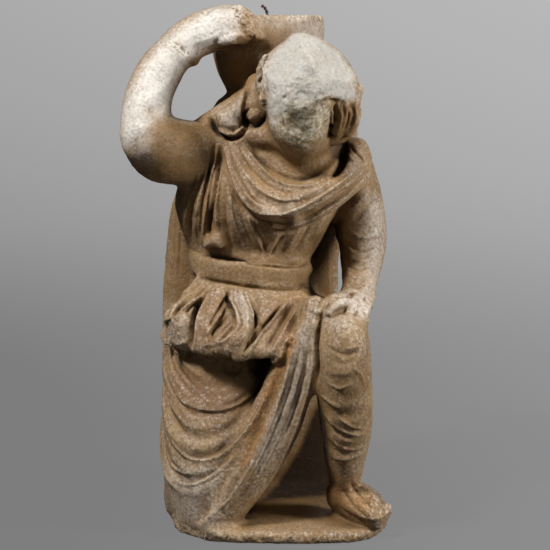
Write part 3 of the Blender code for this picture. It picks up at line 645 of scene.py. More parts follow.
def patch(sight, points, normals, outline, soft):
    spots = seen_at(sight, points)
    corners = np.array(outline, float)
    inside = np.zeros(len(spots), bool)
    away = np.full(len(spots), np.inf)
    for first, last in zip(corners, np.roll(corners, -1, axis=0)):
        run = last - first
        t = np.clip((spots - first) @ run / (run @ run), 0, 1)
        away = np.minimum(away, np.linalg.norm(spots - (first + t[:, None] * run), axis=1))
        crosses = (first[1] > spots[:, 1]) != (last[1] > spots[:, 1])
        rise = np.where(crosses, spots[:, 1] - first[1], 0)
        inside ^= crosses & (spots[:, 0] < first[0] + rise * run[0] / (run[1] or 1))
    signed = np.where(inside, away, -away)
    return np.clip(0.5 + signed / soft, 0, 1) * turned_to(sight, points, normals)


def band(tree, sight, points, normals, line, reach):
    mask = np.zeros(len(points))
    spots = spots_on_skin(tree, sight, line)
    near, share = nearness(points, spots, reach * SHARE)[:2]
    mask[near] = share * share * (3 - 2 * share)
    return mask


# %% [markdown]
# ## How marble breaks
# Split marble is a field of small tilted planes. `facets` scatters seeds through the zone and
# tilts the skin about the nearest one, like the cells of a Voronoi texture with a slope each.
# `cloud` is plain soft noise for weathering. `blow` is a single knock: it flattens what stands
# beyond a plane, as when a lump comes off.

# %% Noise and blows
SEED_STEP = 7.3
SEEDS_A_CELL = 1.5


def cloud(points, size, seed):
    at = points / (size * SHARE) + seed * SEED_STEP
    return np.array([noise.noise(Vector(p)) for p in at])


def add_clouds(lift, points, layers):
    for size, seed, strength in layers:
        lift = lift + cloud(points, size, seed) * strength
    return lift


def facets(points, size, seed):
    low, high = points.min(axis=0), points.max(axis=0)
    draw = random.Random(seed)
    count = int(np.prod((high - low) / (size * SHARE)) * SEEDS_A_CELL) + 8
    seeds = [Vector([draw.uniform(a, b) for a, b in zip(low, high)]) for i in range(count)]
    tilts = [np.array([draw.uniform(-1, 1) for i in range(3)]) for i in range(count)]
    tree = KDTree(count)
    for i, place in enumerate(seeds):
        tree.insert(place, i)
    tree.balance()
    lift = np.zeros(len(points))
    for row, point in enumerate(points):
        place, index = tree.find(point)[:2]
        lift[row] = (point - np.array(place)) @ tilts[index] / (size * SHARE)
    return lift


def blow(tree, points, normals, sight, across, up, depth, reach):
    spot = tree.ray_cast(sight.eye, sight.ray(across, up))[0]
    if spot is None:
        return
    near = np.where(np.linalg.norm(points - np.array(spot), axis=1) < reach * SHARE)[0]
    outward = normals[near].mean(axis=0)
    outward /= np.linalg.norm(outward)
    beyond = (points[near] - np.array(spot)) @ outward + depth * SHARE
    points[near] -= outward * np.clip(beyond, 0, None)[:, None]


# %% [markdown]
# ## Where it is broken
# The head's break has two parts: a pale, smooth split at the top, and a small coarse patch below
# it. Nothing of the lost surface is made again. Knocks and worn lines follow the edges that a
# carved block loses first: finger ends, hems, the rim, the corners of the plinth. A blow is its
# place (across, up), its depth and its reach; a worn line is a reach, a strength and its places.

# %% Places of breaks and wear
HEAD_BREAK = [(21, 514), (43, 507), (65, 493), (79, 473), (82, 448), (71, 444), (60, 448), (51, 450),
              (41, 443), (28, 437), (13, 435), (5, 423), (-3, 415), (-8, 433), (-7, 455),
              (-11, 473), (-3, 493), (8, 503)]
DEEP_BREAK = [(4, 429), (17, 438), (35, 442), (49, 446), (57, 437), (49, 415), (37, 399),
              (26, 392), (14, 396), (1, 411)]
HEAD_LINES = [
    (10, 2.6, [(25, 511), (30, 497), (36, 483), (43, 469), (51, 455)]),
    (4, 2.5, [(41, 442), (47, 447), (57, 451), (70, 446), (81, 444)]),
    (4, -3.0, [(49, 440), (56, 444), (65, 442)]),
    (4.5, -7, [(60, 442), (62, 430), (60, 417)]),
    (2.6, -2.6, [(68, 439), (70, 427), (66, 415)]),
    (2.6, 2.0, [(72, 441), (75, 428), (70, 413)]),
    (2.2, -1.8, [(76, 441), (79, 430), (75, 417)]),
    (2.5, -2.5, [(-4, 453), (0, 449)]),
    (2.5, -2.5, [(7, 446), (13, 450)]),
    (3, -3.5, [(-9, 483), (-11, 469), (-9, 457), (-6, 445)]),
    (2.5, -3, [(-17, 483), (-14, 473), (-16, 461)]),
]
BLOWS = [
    (6, 481, 4.0, 24), (26, 455, 2.0, 20), (62, 483, 4.2, 26), (69, 457, 2.0, 20),
    (-7, 461, 1.5, 12), (65, 199, 2.0, 16), (-103, 211, 2.5, 14), (-95, 198, 2.0, 10),
    (-63, 195, 2.0, 12), (-42, 179, 2.0, 10), (-13, 181, 2.0, 12), (87, 51, 2.0, 11),
    (103, 35, 1.5, 9), (111, 25, 1.5, 10), (-25, 519, 1.5, 10), (-29, 505, 1.5, 10),
    (-85, 20, 3.0, 20), (-69, 9, 2.0, 14), (43, 523, 2.0, 10), (21, 529, 1.5, 7),
]
WORN_LINES = [
    (9, 1.6, [(-112, 205), (-99, 196), (-79, 188), (-61, 187), (-43, 178), (-25, 181), (-3, 182),
              (9, 197), (17, 207)]),
    (10, 1.4, [(-107, 223), (-99, 211), (-91, 199)]),
    (8, 1.4, [(-69, 209), (-62, 199), (-59, 189)]),
    (9, 1.5, [(-42, 537), (-33, 525), (-25, 511), (-25, 499)]),
    (6, 1.0, [(-109, 503), (-93, 495), (-83, 483)]),
    (8, 1.2, [(-13, 487), (-16, 471), (-12, 453), (-11, 435)]),
    (7, 0.8, [(51, 203), (67, 197), (82, 199)]),
    (8, 1.0, [(-77, 23), (-59, 29), (-43, 35)]),
    (8, 1.2, [(97, 25), (109, 39), (117, 47)]),
    (6, 1.0, [(-29, 531), (-5, 530), (21, 530), (43, 525), (49, 513)]),
    (6, 0.8, [(-61, 415), (-47, 409), (-31, 423), (-13, 429)]),
]

# %% [markdown]
# ## Wearing the skin
# One pass moves every vertex along its normal. The strength comes from the zones, and a little
# soft noise goes over the whole figure, since no old surface is even. `nudge` shifts a drawn part
# sideways; it opens the narrow gap between the sleeve and the body a little more.

# %% Break and wear
BREAK_SOFT = 5
DEEP_SOFT = 14
BREAK_ROUGHNESS = 0.55
DEEP_ROUGHNESS = 0.45
EDGE_UP = 15
EDGE_SOFT = 4
EDGE_FACING = 1.2
LEAST_ROUGH = 0.02
FACET_SIZE = 13
FACET_HEIGHT = 0.9
BREAK_CLOUDS = [(6, 1, 1.1), (2.4, 2, 0.9)]
SKIN_CLOUDS = [(11, 4, 0.45), (4, 5, 0.22), (1.8, 6, 0.12)]
SLEEVE_GAP = [(58, 305), (71, 301), (71, 257), (58, 253)]
GAP_SOFT = 9
GAP_SHIFT = (4, 0, 0)


def wear(mesh):
    tree = skin_tree(mesh)
    points, normals = read_skin(mesh)
    for across, up, depth, reach in BLOWS:
        blow(tree, points, normals, FRONT, across, up, depth, reach)
    broken = patch(FRONT, points, normals, HEAD_BREAK, BREAK_SOFT)
    deep = patch(FRONT, points, normals, DEEP_BREAK, DEEP_SOFT)
    plinth_top = ground.z + EDGE_UP * SHARE
    edge = np.clip((plinth_top - points[:, 2]) / (EDGE_SOFT * SHARE), 0, 1)
    edge *= np.clip(EDGE_FACING - np.abs(normals[:, 2]), 0, 1)
    rough = broken * BREAK_ROUGHNESS + deep * DEEP_ROUGHNESS + edge
    for reach, height, line in WORN_LINES:
        rough = np.maximum(rough, band(tree, FRONT, points, normals, line, reach) * height)
    zone = np.where(rough > LEAST_ROUGH)[0]
    lift = np.zeros(len(points))
    here = points[zone]
    planes = facets(here, FACET_SIZE, 3) * FACET_HEIGHT
    lift[zone] = rough[zone] * add_clouds(planes, here, BREAK_CLOUDS)
    lift += add_clouds(0, points, SKIN_CLOUDS)
    points += normals * (lift * SHARE)[:, None]
    write_skin(mesh, points)


def nudge(mesh, sight, outline, soft, shift):
    points = read_skin(mesh)[0]
    share = patch(sight, points, toward_eye(sight, points), outline, soft)
    points += share[:, None] * np.array(shift) * SHARE
    write_skin(mesh, points)


carve(statue.data, FRONT, HEAD_LINES)
nudge(statue.data, FRONT, SLEEVE_GAP, GAP_SOFT, GAP_SHIFT)
wear(statue.data)

# %% [markdown]
# ## Thinning
# The voxel skin has far more faces than it needs on its smooth parts. Decimate joins them there
# and keeps them where the surface bends, which suits folds. The underside is then cut level, so
# that the plinth stands flat.

# %% Thin and level
VISIBLE_FACES = 190000
CUT_SLACK = 1e-7
thin = statue.modifiers.new("Thin", "DECIMATE")
thin.ratio = min(1, VISIBLE_FACES / (2 * len(statue.data.polygons)))
work_in_modifiers(statue)


def level_underside(obj):
    cut = bmesh.new()
    cut.from_mesh(obj.data)
    geometry = cut.verts[:] + cut.edges[:] + cut.faces[:]
    made = bmesh.ops.bisect_plane(
        cut, geom=geometry, dist=CUT_SLACK, plane_co=(0, 0, 0), plane_no=(0, 0, -1), clear_outer=True
    )
    rim = [e for e in made["geom_cut"] if isinstance(e, bmesh.types.BMEdge)]
    bmesh.ops.holes_fill(cut, edges=rim)
    bmesh.ops.triangulate(cut, faces=[f for f in cut.faces if len(f.verts) > 4])
    cut.to_mesh(obj.data)
    cut.free()


level_underside(statue)
statue.data.shade_smooth()
print("statue has", len(statue.data.polygons), "faces")

# %% [markdown]
# ## The bore for the wire
# The wire sits loose in a drilled hole in the rim, and smoothing closed that hole. It is drilled
# again through a boolean, a hair wider than the wire, at the place where the solid wire stands.

# %% Bore
wire_low, wire_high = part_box("wire_hook")
WIRE_RADIUS = (wire_high.y - wire_low.y) / 2
WIRE_FOOT = Vector((wire_high.x - WIRE_RADIUS, (wire_low.y + wire_high.y) / 2, wire_low.z))
BORE_GAP = 0.0004
BORE_LENGTH = 0.030
BORE_POINTS = 24


def drill(obj, foot, radius):
    hole = bmesh.new()
    middle = foot + UPWARD * (BORE_LENGTH / 2 - BORE_GAP)
    bmesh.ops.create_cone(
        hole, cap_ends=True, segments=BORE_POINTS, depth=BORE_LENGTH,
        radius1=radius, radius2=radius, matrix=Matrix.Translation(middle),
    )
    cutter = clay_object("bore", hole)
    cut = obj.modifiers.new("Bore", "BOOLEAN")
    cut.operation = "DIFFERENCE"
    cut.solver = "EXACT"
    cut.object = cutter
    work_in_modifiers(obj)
    bpy.data.meshes.remove(cutter.data)


drill(statue, WIRE_FOOT, WIRE_RADIUS + BORE_GAP)
statue.data.shade_smooth()
print("drilled statue has", len(statue.data.polygons), "faces")

# %% [markdown]
# ## Masks for the finish
# Old marble is palest where hands and weather polish it, and darkest where dust and soil stay.
# So the mesh gets masks, one number per vertex: `hollow` from rays that ask how much sky a place
# sees, and `crest` from how far it stands out from its smoothed surroundings. Both come from the
# form itself, so they would follow any change of the carving. The colour darkened through them in
# hollows and creases is painted shade as well as soil and dust.

# %% Masks from the form
HOLLOW_RAYS = 14
HOLLOW_REACH = 70
HOLLOW_SMOOTHING = 4
RAY_LEAN = 1.02
RAY_START = 0.6
FAR_FADE = 0.5


def smoothed(values, pairs, count, times):
    first, last = pairs[:, 0], pairs[:, 1]
    degree = np.bincount(first, minlength=count) + np.bincount(last, minlength=count) + 1
    for again in range(times):
        total = values.copy()
        for axis in range(values.shape[1]):
            column = values[:, axis]
            total[:, axis] += np.bincount(first, column[last], count)
            total[:, axis] += np.bincount(last, column[first], count)
        values = total / degree[:, None]
    return values


def hollow_mask(tree, points, normals, pairs):
    draw = np.random.default_rng(11)
    reach = HOLLOW_REACH * SHARE
    blocked = np.zeros(len(points))
    for turn in range(HOLLOW_RAYS):
        spray = draw.normal(size=points.shape)
        spray /= np.linalg.norm(spray, axis=1)[:, None]
        rays = spray + normals * RAY_LEAN
        rays /= np.linalg.norm(rays, axis=1)[:, None]
        starts = points + normals * (RAY_START * SHARE)
        for row in range(len(points)):
            hit = tree.ray_cast(starts[row], rays[row], reach)[3]
            if hit is not None:
                blocked[row] += 1 - FAR_FADE * hit / reach
    return smoothed(blocked[:, None] / HOLLOW_RAYS, pairs, len(points), HOLLOW_SMOOTHING)[:, 0]


def standing_out(points, normals, pairs, reach, full):
    spacing = np.linalg.norm(points[pairs[:, 0]] - points[pairs[:, 1]], axis=1).mean()
    times = max(1, round((reach * SHARE / spacing) ** 2))
    flat = smoothed(points, pairs, len(points), times)
    return np.clip(((points - flat) * normals).sum(axis=1) / (full * SHARE), -1, 1)


def keep_mask(mesh, name, values):
    mask = mesh.attributes.new(name, "FLOAT", "POINT")
    mask.data.foreach_set("value", np.ascontiguousarray(values, np.float32))
    print(name, "mean", round(float(values.mean()), 3))


# %% [markdown]
# ## Stains and painted light by zone
# Other stains have their own history: a forearm washed white, rust that ran down an edge, a rosy
# tint in the skirt, soil that settled in the recess. The pale zones also paint light on faces that
# the lamps catch, and the soil zones also paint shade: shadows under the head, the raised arm and
# the hem, dark undersides and the deep recess. They are painted as soft patches on the front
# view, each with an outline, a softness and a strength.

# %% Stain zones
# Pale patches: the forearm washed white, and painted light on lit faces such as the vessel's rim, the
# pad, the mantle's crest, the knee, the sleeve's edge and the falling band.
LIT_AND_BLEACHED_ZONES = [
    ([(-21, 531), (37, 529), (41, 511), (-5, 501)], 14, 0.3),
    ([(-115, 505), (-61, 540), (-35, 540), (-39, 505), (-70, 490), (-97, 465), (-107, 427), (-153, 395),
      (-157, 435), (-140, 465)], 14, 1.0),
    ([(-155, 417), (-117, 420), (-125, 380), (-137, 375)], 16, 0.45),
    ([(-19, 341), (25, 341), (25, 329), (-13, 329)], 10, 0.25),
    ([(51, 233), (77, 233), (79, 219), (53, 219)], 12, 0.25),
    ([(-110, 75), (-45, 75), (-60, 15), (-100, 25)], 30, 0.35),
    ([(-49, 437), (-31, 437), (-35, 415), (-51, 419)], 10, 0.3),
    ([(91, 349), (113, 339), (109, 245), (91, 245)], 18, 0.45),
    ([(65, 255), (97, 255), (97, 227), (55, 233)], 12, 0.55),
    ([(-47, 255), (-25, 253), (-21, 223), (-39, 227)], 8, 0.35),
    ([(-105, 227), (-85, 227), (-87, 200), (-111, 200)], 8, 0.22),
    ([(-19, 493), (-7, 493), (-7, 453), (-19, 457)], 7, 0.55),
    ([(50, 531), (10, 533), (10, 505), (47, 495)], 12, 0.45),
    ([(-63, 437), (-35, 445), (-35, 415), (-53, 415)], 10, 0.35),
    ([(43, 245), (35, 165), (15, 115), (-13, 75), (-27, 79), (5, 145), (25, 215)], 8, 0.30),
]
# Soil and painted shade: the recess, the plinth and the belt, and painted shadows under the head, the
# raised arm and the hem, on the elbow's underside and in the gap beside the resting arm.
SHADED_AND_SOILED_ZONES = [
    ([(47, 151), (55, 115), (57, 83), (65, 61), (51, 47), (-19, 41), (1, 63),
      (23, 99), (37, 135)], 9, 1.0),
    ([(-13, 45), (61, 53), (75, 25), (25, 21), (-23, 29)], 14, 0.40),
    ([(-85, 289), (-40, 281), (37, 281), (33, 261), (-35, 263), (-79, 271)], 8, 0.32),
    ([(-175, 399), (-125, 377), (-127, 350), (-180, 360)], 16, 0.65),
    ([(-125, 435), (-75, 423), (-75, 360), (-125, 360)], 18, 0.48),
    ([(-89, 485), (-79, 489), (-13, 485), (-19, 461), (-49, 445), (-69, 453)], 8, 0.55),
    ([(-75, 370), (-51, 375), (-45, 301), (-79, 301)], 12, 0.35),
    ([(-19, 329), (35, 330), (55, 331), (25, 305), (-13, 305)], 14, 0.12),
    ([(-5, 405), (55, 407), (55, 373), (10, 373)], 12, 0.28),
    ([(47, 193), (87, 193), (89, 105), (65, 75), (51, 115)], 16, 0.30),
    ([(57, 441), (85, 441), (77, 403), (57, 403)], 6, 0.55),
    ([(-95, 187), (-13, 175), (-25, 153), (-83, 165)], 14, 0.45),
    ([(65, 359), (91, 359), (87, 255), (67, 255)], 12, 0.20),
    ([(-117, 360), (-85, 355), (-79, 245), (-117, 245)], 10, 0.34),
    ([(35, 309), (56, 319), (56, 247), (43, 249), (37, 277)], 5, 0.75),
]
RUSTY = [
    ([(15, 209), (21, 203), (9, 173), (-1, 145), (-13, 145), (-1, 175)], 7, 1.0),
    ([(-1, 150), (-13, 147), (-30, 105), (-37, 75), (-25, 80), (-9, 115)], 8, 0.65),
    ([(55, 65), (97, 45), (93, 25), (60, 40)], 14, 0.6),
    ([(55, 395), (70, 400), (69, 365), (50, 363)], 10, 0.5),
    ([(-35, 105), (-45, 55), (-70, 30), (-50, 75)], 10, 0.3),
]
ROSY = [
    ([(-3, 245), (25, 245), (17, 200), (-13, 195)], 14, 1.0),
    ([(-105, 185), (-13, 179), (-20, 125), (-75, 130), (-103, 145)], 22, 0.9),
    ([(-70, 255), (-35, 255), (-40, 200), (-80, 195)], 16, 0.6),
    ([(-35, 420), (-7, 420), (25, 370), (-15, 380)], 12, 0.5),
    ([(-60, 395), (25, 320), (25, 290), (-85, 300)], 25, 0.35),
]
# Real stains and breaks, together with the zones that paint light and shade.
STAINS_AND_PAINTED_LIGHT = {
    "bleach_and_light": LIT_AND_BLEACHED_ZONES,
    "soil_and_shade": SHADED_AND_SOILED_ZONES,
    "rusty": RUSTY,
    "rosy": ROSY,
    "fractured": [(HEAD_BREAK, 6, 1.0)],
    "burst": [(DEEP_BREAK, 18, 1.0)],
}

# %% [markdown]
# ## Masks on the mesh
# Each mask is a named attribute, so the material reads it by its name. Crests are measured twice,
# once for thin edges and once for whole folds, and the two are summed around a middle of one half.

# %% Masks on the mesh
FINE_CREST = (3.2, 0.8)
BROAD_CREST = (8, 3.0)
FINE_SHARE = 0.8
BROAD_SHARE = 0.4


def painted(points, normals, zones):
    mask = np.zeros(len(points))
    for outline, soft, strength in zones:
        mask = np.maximum(mask, patch(FRONT, points, normals, outline, soft) * strength)
    return mask


def add_masks(mesh):
    tree = skin_tree(mesh)
    points, normals = read_skin(mesh)
    pairs = np.array([e.vertices for e in mesh.edges])
    keep_mask(mesh, "hollow", hollow_mask(tree, points, normals, pairs))
    fine = standing_out(points, normals, pairs, *FINE_CREST)
    broad = standing_out(points, normals, pairs, *BROAD_CREST)
    height = np.clip(fine * FINE_SHARE + broad * BROAD_SHARE, -1, 1)
    keep_mask(mesh, "crest", 0.5 + 0.5 * height)
    for name, zones in STAINS_AND_PAINTED_LIGHT.items():
        keep_mask(mesh, name, painted(points, normals, zones))


add_masks(statue.data)

# %% [markdown]
# ## One clean skin
# The level cut closed off thin hollows under the plinth as shells of their own. Nobody can see
# them, but they are stray faces, so only the largest shell is kept. Limited dissolve or a merge by
# distance wouldn't help here, because these shells touch nothing.

# %% Largest shell
def shells_of(clay):
    waiting = set(clay.verts)
    shells = []
    while waiting:
        front = [waiting.pop()]
        shell = set(front)
        while front:
            vert = front.pop()
            beside = {edge.other_vert(vert) for edge in vert.link_edges} & waiting
            waiting -= beside
            shell |= beside
            front.extend(beside)
        shells.append(shell)
    return shells


def keep_largest_shell(mesh):
    clay = bmesh.new()
    clay.from_mesh(mesh)
    shells = shells_of(clay)
    largest = max(shells, key=len)
    stray = [vert for vert in clay.verts if vert not in largest]
    bmesh.ops.delete(clay, geom=stray, context="VERTS")
    clay.to_mesh(mesh)
    clay.free()
    print("stray shells dropped", len(shells) - 1)


keep_largest_shell(statue.data)
print("clean statue has", len(statue.data.polygons), "faces")

# %% [markdown]
# ## Nodes in short
# A material is a tree of nodes, and the same few steps come back in it: a sum, a change of range,
# a mix of two colours. Each gets a small helper, so that a material reads from top to bottom.

# %% Helpers for nodes
def put(tree, kind, settings=(), **values):
    made = tree.nodes.new(kind)
    for name, value in settings:
        setattr(made, name, value)
    for name, value in values.items():
        made.inputs[name.replace("_", " ")].default_value = value
    return made


def sum_up(tree, operation, first, last=None):
    made = tree.nodes.new("ShaderNodeMath")
    made.operation = operation
    made.use_clamp = True
    for socket, value in zip(made.inputs, (first, last)):
        if isinstance(value, (int, float)):
            socket.default_value = value
        elif value is not None:
            tree.links.new(value, socket)
    return made.outputs[0]


def spread(tree, value, low, high, bottom=0.0, top=1.0):
    made = tree.nodes.new("ShaderNodeMapRange")
    made.clamp = True
    tree.links.new(value, made.inputs["Value"])
    for name, number in (("From Min", low), ("From Max", high), ("To Min", bottom), ("To Max", top)):
        made.inputs[name].default_value = number
    return made.outputs["Result"]


def blend_colour(tree, share, first, last):
    made = tree.nodes.new("ShaderNodeMix")
    made.data_type = "RGBA"
    made.clamp_factor = True
    sockets = [s for s in made.inputs if s.enabled]
    for socket, value in zip(sockets, (share, first, last)):
        if isinstance(value, tuple):
            socket.default_value = (*value, 1)
        elif isinstance(value, (int, float)):
            socket.default_value = value
        else:
            tree.links.new(value, socket)
    return [s for s in made.outputs if s.enabled][0]


def bump_by(tree, shader, height, strength, distance):
    bump = put(tree, "ShaderNodeBump", Strength=strength, Distance=distance)
    tree.links.new(height, bump.inputs["Height"])
    tree.links.new(bump.outputs["Normal"], shader.inputs["Normal"])


def new_material(name):
    made = bpy.data.materials.new(name)
    made.use_nodes = True
    tree = made.node_tree
    return made, tree, tree.nodes["Principled BSDF"]


# %% [markdown]
# ## A grain that both finishes use
# Stone and rusty iron share one group: fine speckle, wide clouds, and pits from a Voronoi texture
# where the clouds are dense. It takes only scales and gives back masks and a height, so the same
# group can serve any material. Object coordinates tie the grain to the thing itself.

# %% Grain group
def grain_group():
    group = bpy.data.node_groups.new("stone grain", "ShaderNodeTree")
    side = group.interface
    for name, value in (("Scale", 600.0), ("Cloud Scale", 40.0), ("Pit Scale", 260.0)):
        socket = side.new_socket(name, in_out="INPUT", socket_type="NodeSocketFloat")
        socket.default_value = value
    for name in ("Speckle", "Cloud", "Pits", "Height"):
        side.new_socket(name, in_out="OUTPUT", socket_type="NodeSocketFloat")
    into = group.nodes.new("NodeGroupInput")
    out = group.nodes.new("NodeGroupOutput")
    place = group.nodes.new("ShaderNodeTexCoord")
    made = {}
    for name, scale, detail in (("fine", "Scale", 4.0), ("wide", "Cloud Scale", 6.0)):
        texture = put(group, "ShaderNodeTexNoise", Detail=detail, Roughness=0.62)
        group.links.new(place.outputs["Object"], texture.inputs["Vector"])
        group.links.new(into.outputs[scale], texture.inputs["Scale"])
        made[name] = texture.outputs["Fac"]
    cells = put(group, "ShaderNodeTexVoronoi", Randomness=1.0)
    group.links.new(place.outputs["Object"], cells.inputs["Vector"])
    group.links.new(into.outputs["Pit Scale"], cells.inputs["Scale"])
    speckle = spread(group, made["fine"], 0.45, 0.62)
    wide = spread(group, made["wide"], 0.32, 0.68)
    pits = spread(group, cells.outputs["Distance"], 0.12, 0.30, 1.0, 0.0)
    pits = sum_up(group, "MULTIPLY", pits, spread(group, made["wide"], 0.45, 0.6))
    height = sum_up(group, "SUBTRACT", made["fine"], sum_up(group, "MULTIPLY", pits, 0.4))
    for name, value in (("Speckle", speckle), ("Cloud", wide), ("Pits", pits), ("Height", height)):
        group.links.new(value, out.inputs[name])
    return group


GRAIN = grain_group()


def grain_at(tree, fine, wide, pits):
    scales = {"Scale": fine, "Cloud_Scale": wide, "Pit_Scale": pits}
    return put(tree, "ShaderNodeGroup", [("node_tree", GRAIN)], **scales).outputs


# %% [markdown]
# ## Stained marble
# The marble was white once. Now it is tan and ochre with thin cream crests, a grey-white split on
# the head, rosy and rusty stains, and soil in the hollows, where the dark coats are also painted
# shade. Colours go on in that order, from the ground coat up to the dirt and painted shade, each
# laid through a mask that the grain breaks up. A dull, uneven roughness and a slight bump keep it
# from looking like wax.

# %% Colours of the marble
TAN = (0.395, 0.262, 0.132)
OCHRE = (0.255, 0.145, 0.058)
PALE = (0.78, 0.735, 0.67)
CREAM = (0.70, 0.61, 0.48)
# Amber brown: soil with painted shade in creases, hollows and shaded zones.
AMBER = (0.225, 0.125, 0.042)
ROSE = (0.32, 0.180, 0.105)
RUST = (0.43, 0.185, 0.040)
GREY_BREAK = (0.53, 0.515, 0.48)
WARM_BREAK = (0.58, 0.50, 0.38)
GREY_GRIT = (0.70, 0.63, 0.47)
BROWN_GRIT = (0.31, 0.237, 0.130)
# Near black: painted shade with soil in the deepest hollows and zones.
SOIL_AND_SHADE_BLACK = (0.020, 0.010, 0.004)
# Dark brown: dust in pits, and painted shade with dust in creases and hollows.
DUST_AND_SHADE_BROWN = (0.115, 0.066, 0.030)
BROWN_GRAIN = (0.150, 0.085, 0.034)


# %% Stained marble
def stained_marble():
    marble, tree, shader = new_material("stained marble")

    def mask(name):
        return put(tree, "ShaderNodeAttribute", [("attribute_name", name)]).outputs["Fac"]

    def both(first, last):
        return sum_up(tree, "MULTIPLY", first, last)

    def ranged(value, low, high, bottom, top):
        return spread(tree, value, low, high, bottom, top)

    crest, hollow, soil_and_shade, bleach_and_light = mask("crest"), mask("hollow"), mask("soil_and_shade"), mask("bleach_and_light")
    fractured, burst = mask("fractured"), mask("burst")
    grain = grain_at(tree, fine=340.0, wide=26.0, pits=260.0)
    patches = grain_at(tree, fine=150.0, wide=70.0, pits=120.0)
    speckle, clouds = grain["Speckle"], grain["Cloud"]
    blotches, dabs = patches["Cloud"], patches["Speckle"]
    whole = ranged(sum_up(tree, "MAXIMUM", fractured, burst), 0.0, 1.0, 1.0, 0.12)
    stained = ranged(sum_up(tree, "MAXIMUM", fractured, both(bleach_and_light, 0.7)), 0.0, 1.0, 1.0, 0.30)
    split = blend_colour(tree, both(blotches, 0.55), GREY_BREAK, WARM_BREAK)
    grit = blend_colour(tree, dabs, GREY_GRIT, BROWN_GRIT)
    # Each coat is the share it is laid with and its colour, from the ground up.
    coats = [
        (both(blotches, 0.18), PALE),
        (both(mask("rosy"), ranged(blotches, 0.1, 0.7, 0.45, 1.0)), ROSE),
        # Pale where the marble is washed white, and painted light on the lit faces of these zones.
        (both(bleach_and_light, ranged(clouds, 0.0, 0.9, 1.0, 0.75)), PALE),
        (ranged(crest, 0.66, 0.98, 0.0, 0.60), CREAM),
        (both(mask("rusty"), ranged(blotches, 0.0, 0.8, 0.6, 1.0)), RUST),
        (both(fractured, 0.95), split),
        (both(burst, 0.9), grit),
        (both(both(speckle, ranged(blotches, 0.1, 0.8, 0.30, 0.80)), stained), BROWN_GRAIN),
        (ranged(grain["Height"], 0.40, 0.28, 0.0, 0.55), PALE),
        (both(both(dabs, ranged(clouds, 0.3, 0.8, 0.05, 0.34)), stained), BROWN_GRAIN),
        # Darker in the creases, leaving the breaks out: painted crease shade with dust.
        (both(ranged(crest, 0.50, 0.38, 0.0, 0.40), whole), AMBER),
        # Soil and painted shadows in the soil zones.
        (ranged(soil_and_shade, 0.0, 0.55, 0.0, 0.85), AMBER),
        (both(ranged(crest, 0.44, 0.16, 0.0, 0.85), whole), DUST_AND_SHADE_BROWN),
        # Darker the less sky a place sees: painted shade in the hollows with soil, near black at the
        # deepest.
        (ranged(hollow, 0.08, 0.34, 0.0, 0.60), AMBER),
        (ranged(hollow, 0.30, 0.55, 0.0, 0.80), DUST_AND_SHADE_BROWN),
        (ranged(hollow, 0.46, 0.66, 0.0, 0.97), SOIL_AND_SHADE_BLACK),
        # Near black in the darkest soil zones: painted shade with soil.
        (ranged(soil_and_shade, 0.55, 1.0, 0.0, 0.96), SOIL_AND_SHADE_BLACK),
        (both(grain["Pits"], 0.5), DUST_AND_SHADE_BROWN),
    ]
    colour = blend_colour(tree, clouds, TAN, OCHRE)
    for share, coat in coats:
        colour = blend_colour(tree, share, colour, coat)
    tree.links.new(colour, shader.inputs["Base Color"])
    dull = ranged(sum_up(tree, "MAXIMUM", hollow, soil_and_shade), 0.25, 0.70, 0.0, 0.95)
    rough = sum_up(tree, "MAXIMUM", ranged(speckle, 0, 1, 0.50, 0.68), dull)
    tree.links.new(rough, shader.inputs["Roughness"])
    shader.inputs["Specular IOR Level"].default_value = 0.3
    bump_by(tree, shader, grain["Height"], 0.6, 0.0015)
    return marble


statue.data.materials.clear()
statue.data.materials.append(stained_marble())
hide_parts("statue")
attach(statue, "root")

# %% [markdown]
# ## The wire
# A short twisted wire stands in the rim, bent over at its top, perhaps from an old hanging. Two
# thin strands wind about each other. Each strand is a chain of rings about a middle line, and the
# two differ only in where their turn begins. A curve with a bevel would look alike, but the rings
# keep the whole wire inside the box of the solid one.

# %% Wire
WIRE_BEND = [(0, 0), (0, 8), (-0.5, 12), (-3, 16.5), (-6, 18.5)]
WIRE_STEPS = 16
WIRE_TURN = 8 * SHARE
STRAND_SHARE = 0.50
OFFSET_SHARE = 0.46
STRAND_POINTS = 10


def wind_strand(wire, path, phase):
    rings = []
    gone = 0
    for i, place in enumerate(path):
        before, after = path[max(i - 1, 0)], path[min(i + 1, len(path) - 1)]
        along = (after - before).normalized()
        wide = along.cross(Vector((0, 1, 0))).normalized()
        deep = along.cross(wide)
        gone += (place - before).length
        turned = phase + math.tau * gone / WIRE_TURN
        aside = wide * math.cos(turned) + deep * math.sin(turned)
        middle = place + aside * OFFSET_SHARE * WIRE_RADIUS
        rings.append([
            middle + (wide * math.cos(a) + deep * math.sin(a)) * STRAND_SHARE * WIRE_RADIUS
            for a in turns(STRAND_POINTS)
        ])
    skin(wire, rings)


wire_clay = bmesh.new()
wire_path = [
    WIRE_FOOT + Vector((x * SHARE, 0, z * SHARE)) for x, z in smooth_path(WIRE_BEND, WIRE_STEPS)
]
for phase in (0, math.pi):
    wind_strand(wire_clay, wire_path, phase)
wire = clay_object("twisted_wire", wire_clay)
wire.data.shade_smooth()
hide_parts("wire_hook")
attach(wire, "root")
print("wire has", len(wire.data.polygons), "faces")

# %% [markdown]
# ## Rusted iron
# Old iron wire is nearly black, with brown rust where damp stays. It uses the same grain group as
# the marble, at a finer scale, for the rust patches, the dull and less dull places and the pits.

# %% Rusted iron
IRON = (0.030, 0.026, 0.024)
BROWN_RUST = (0.110, 0.045, 0.018)


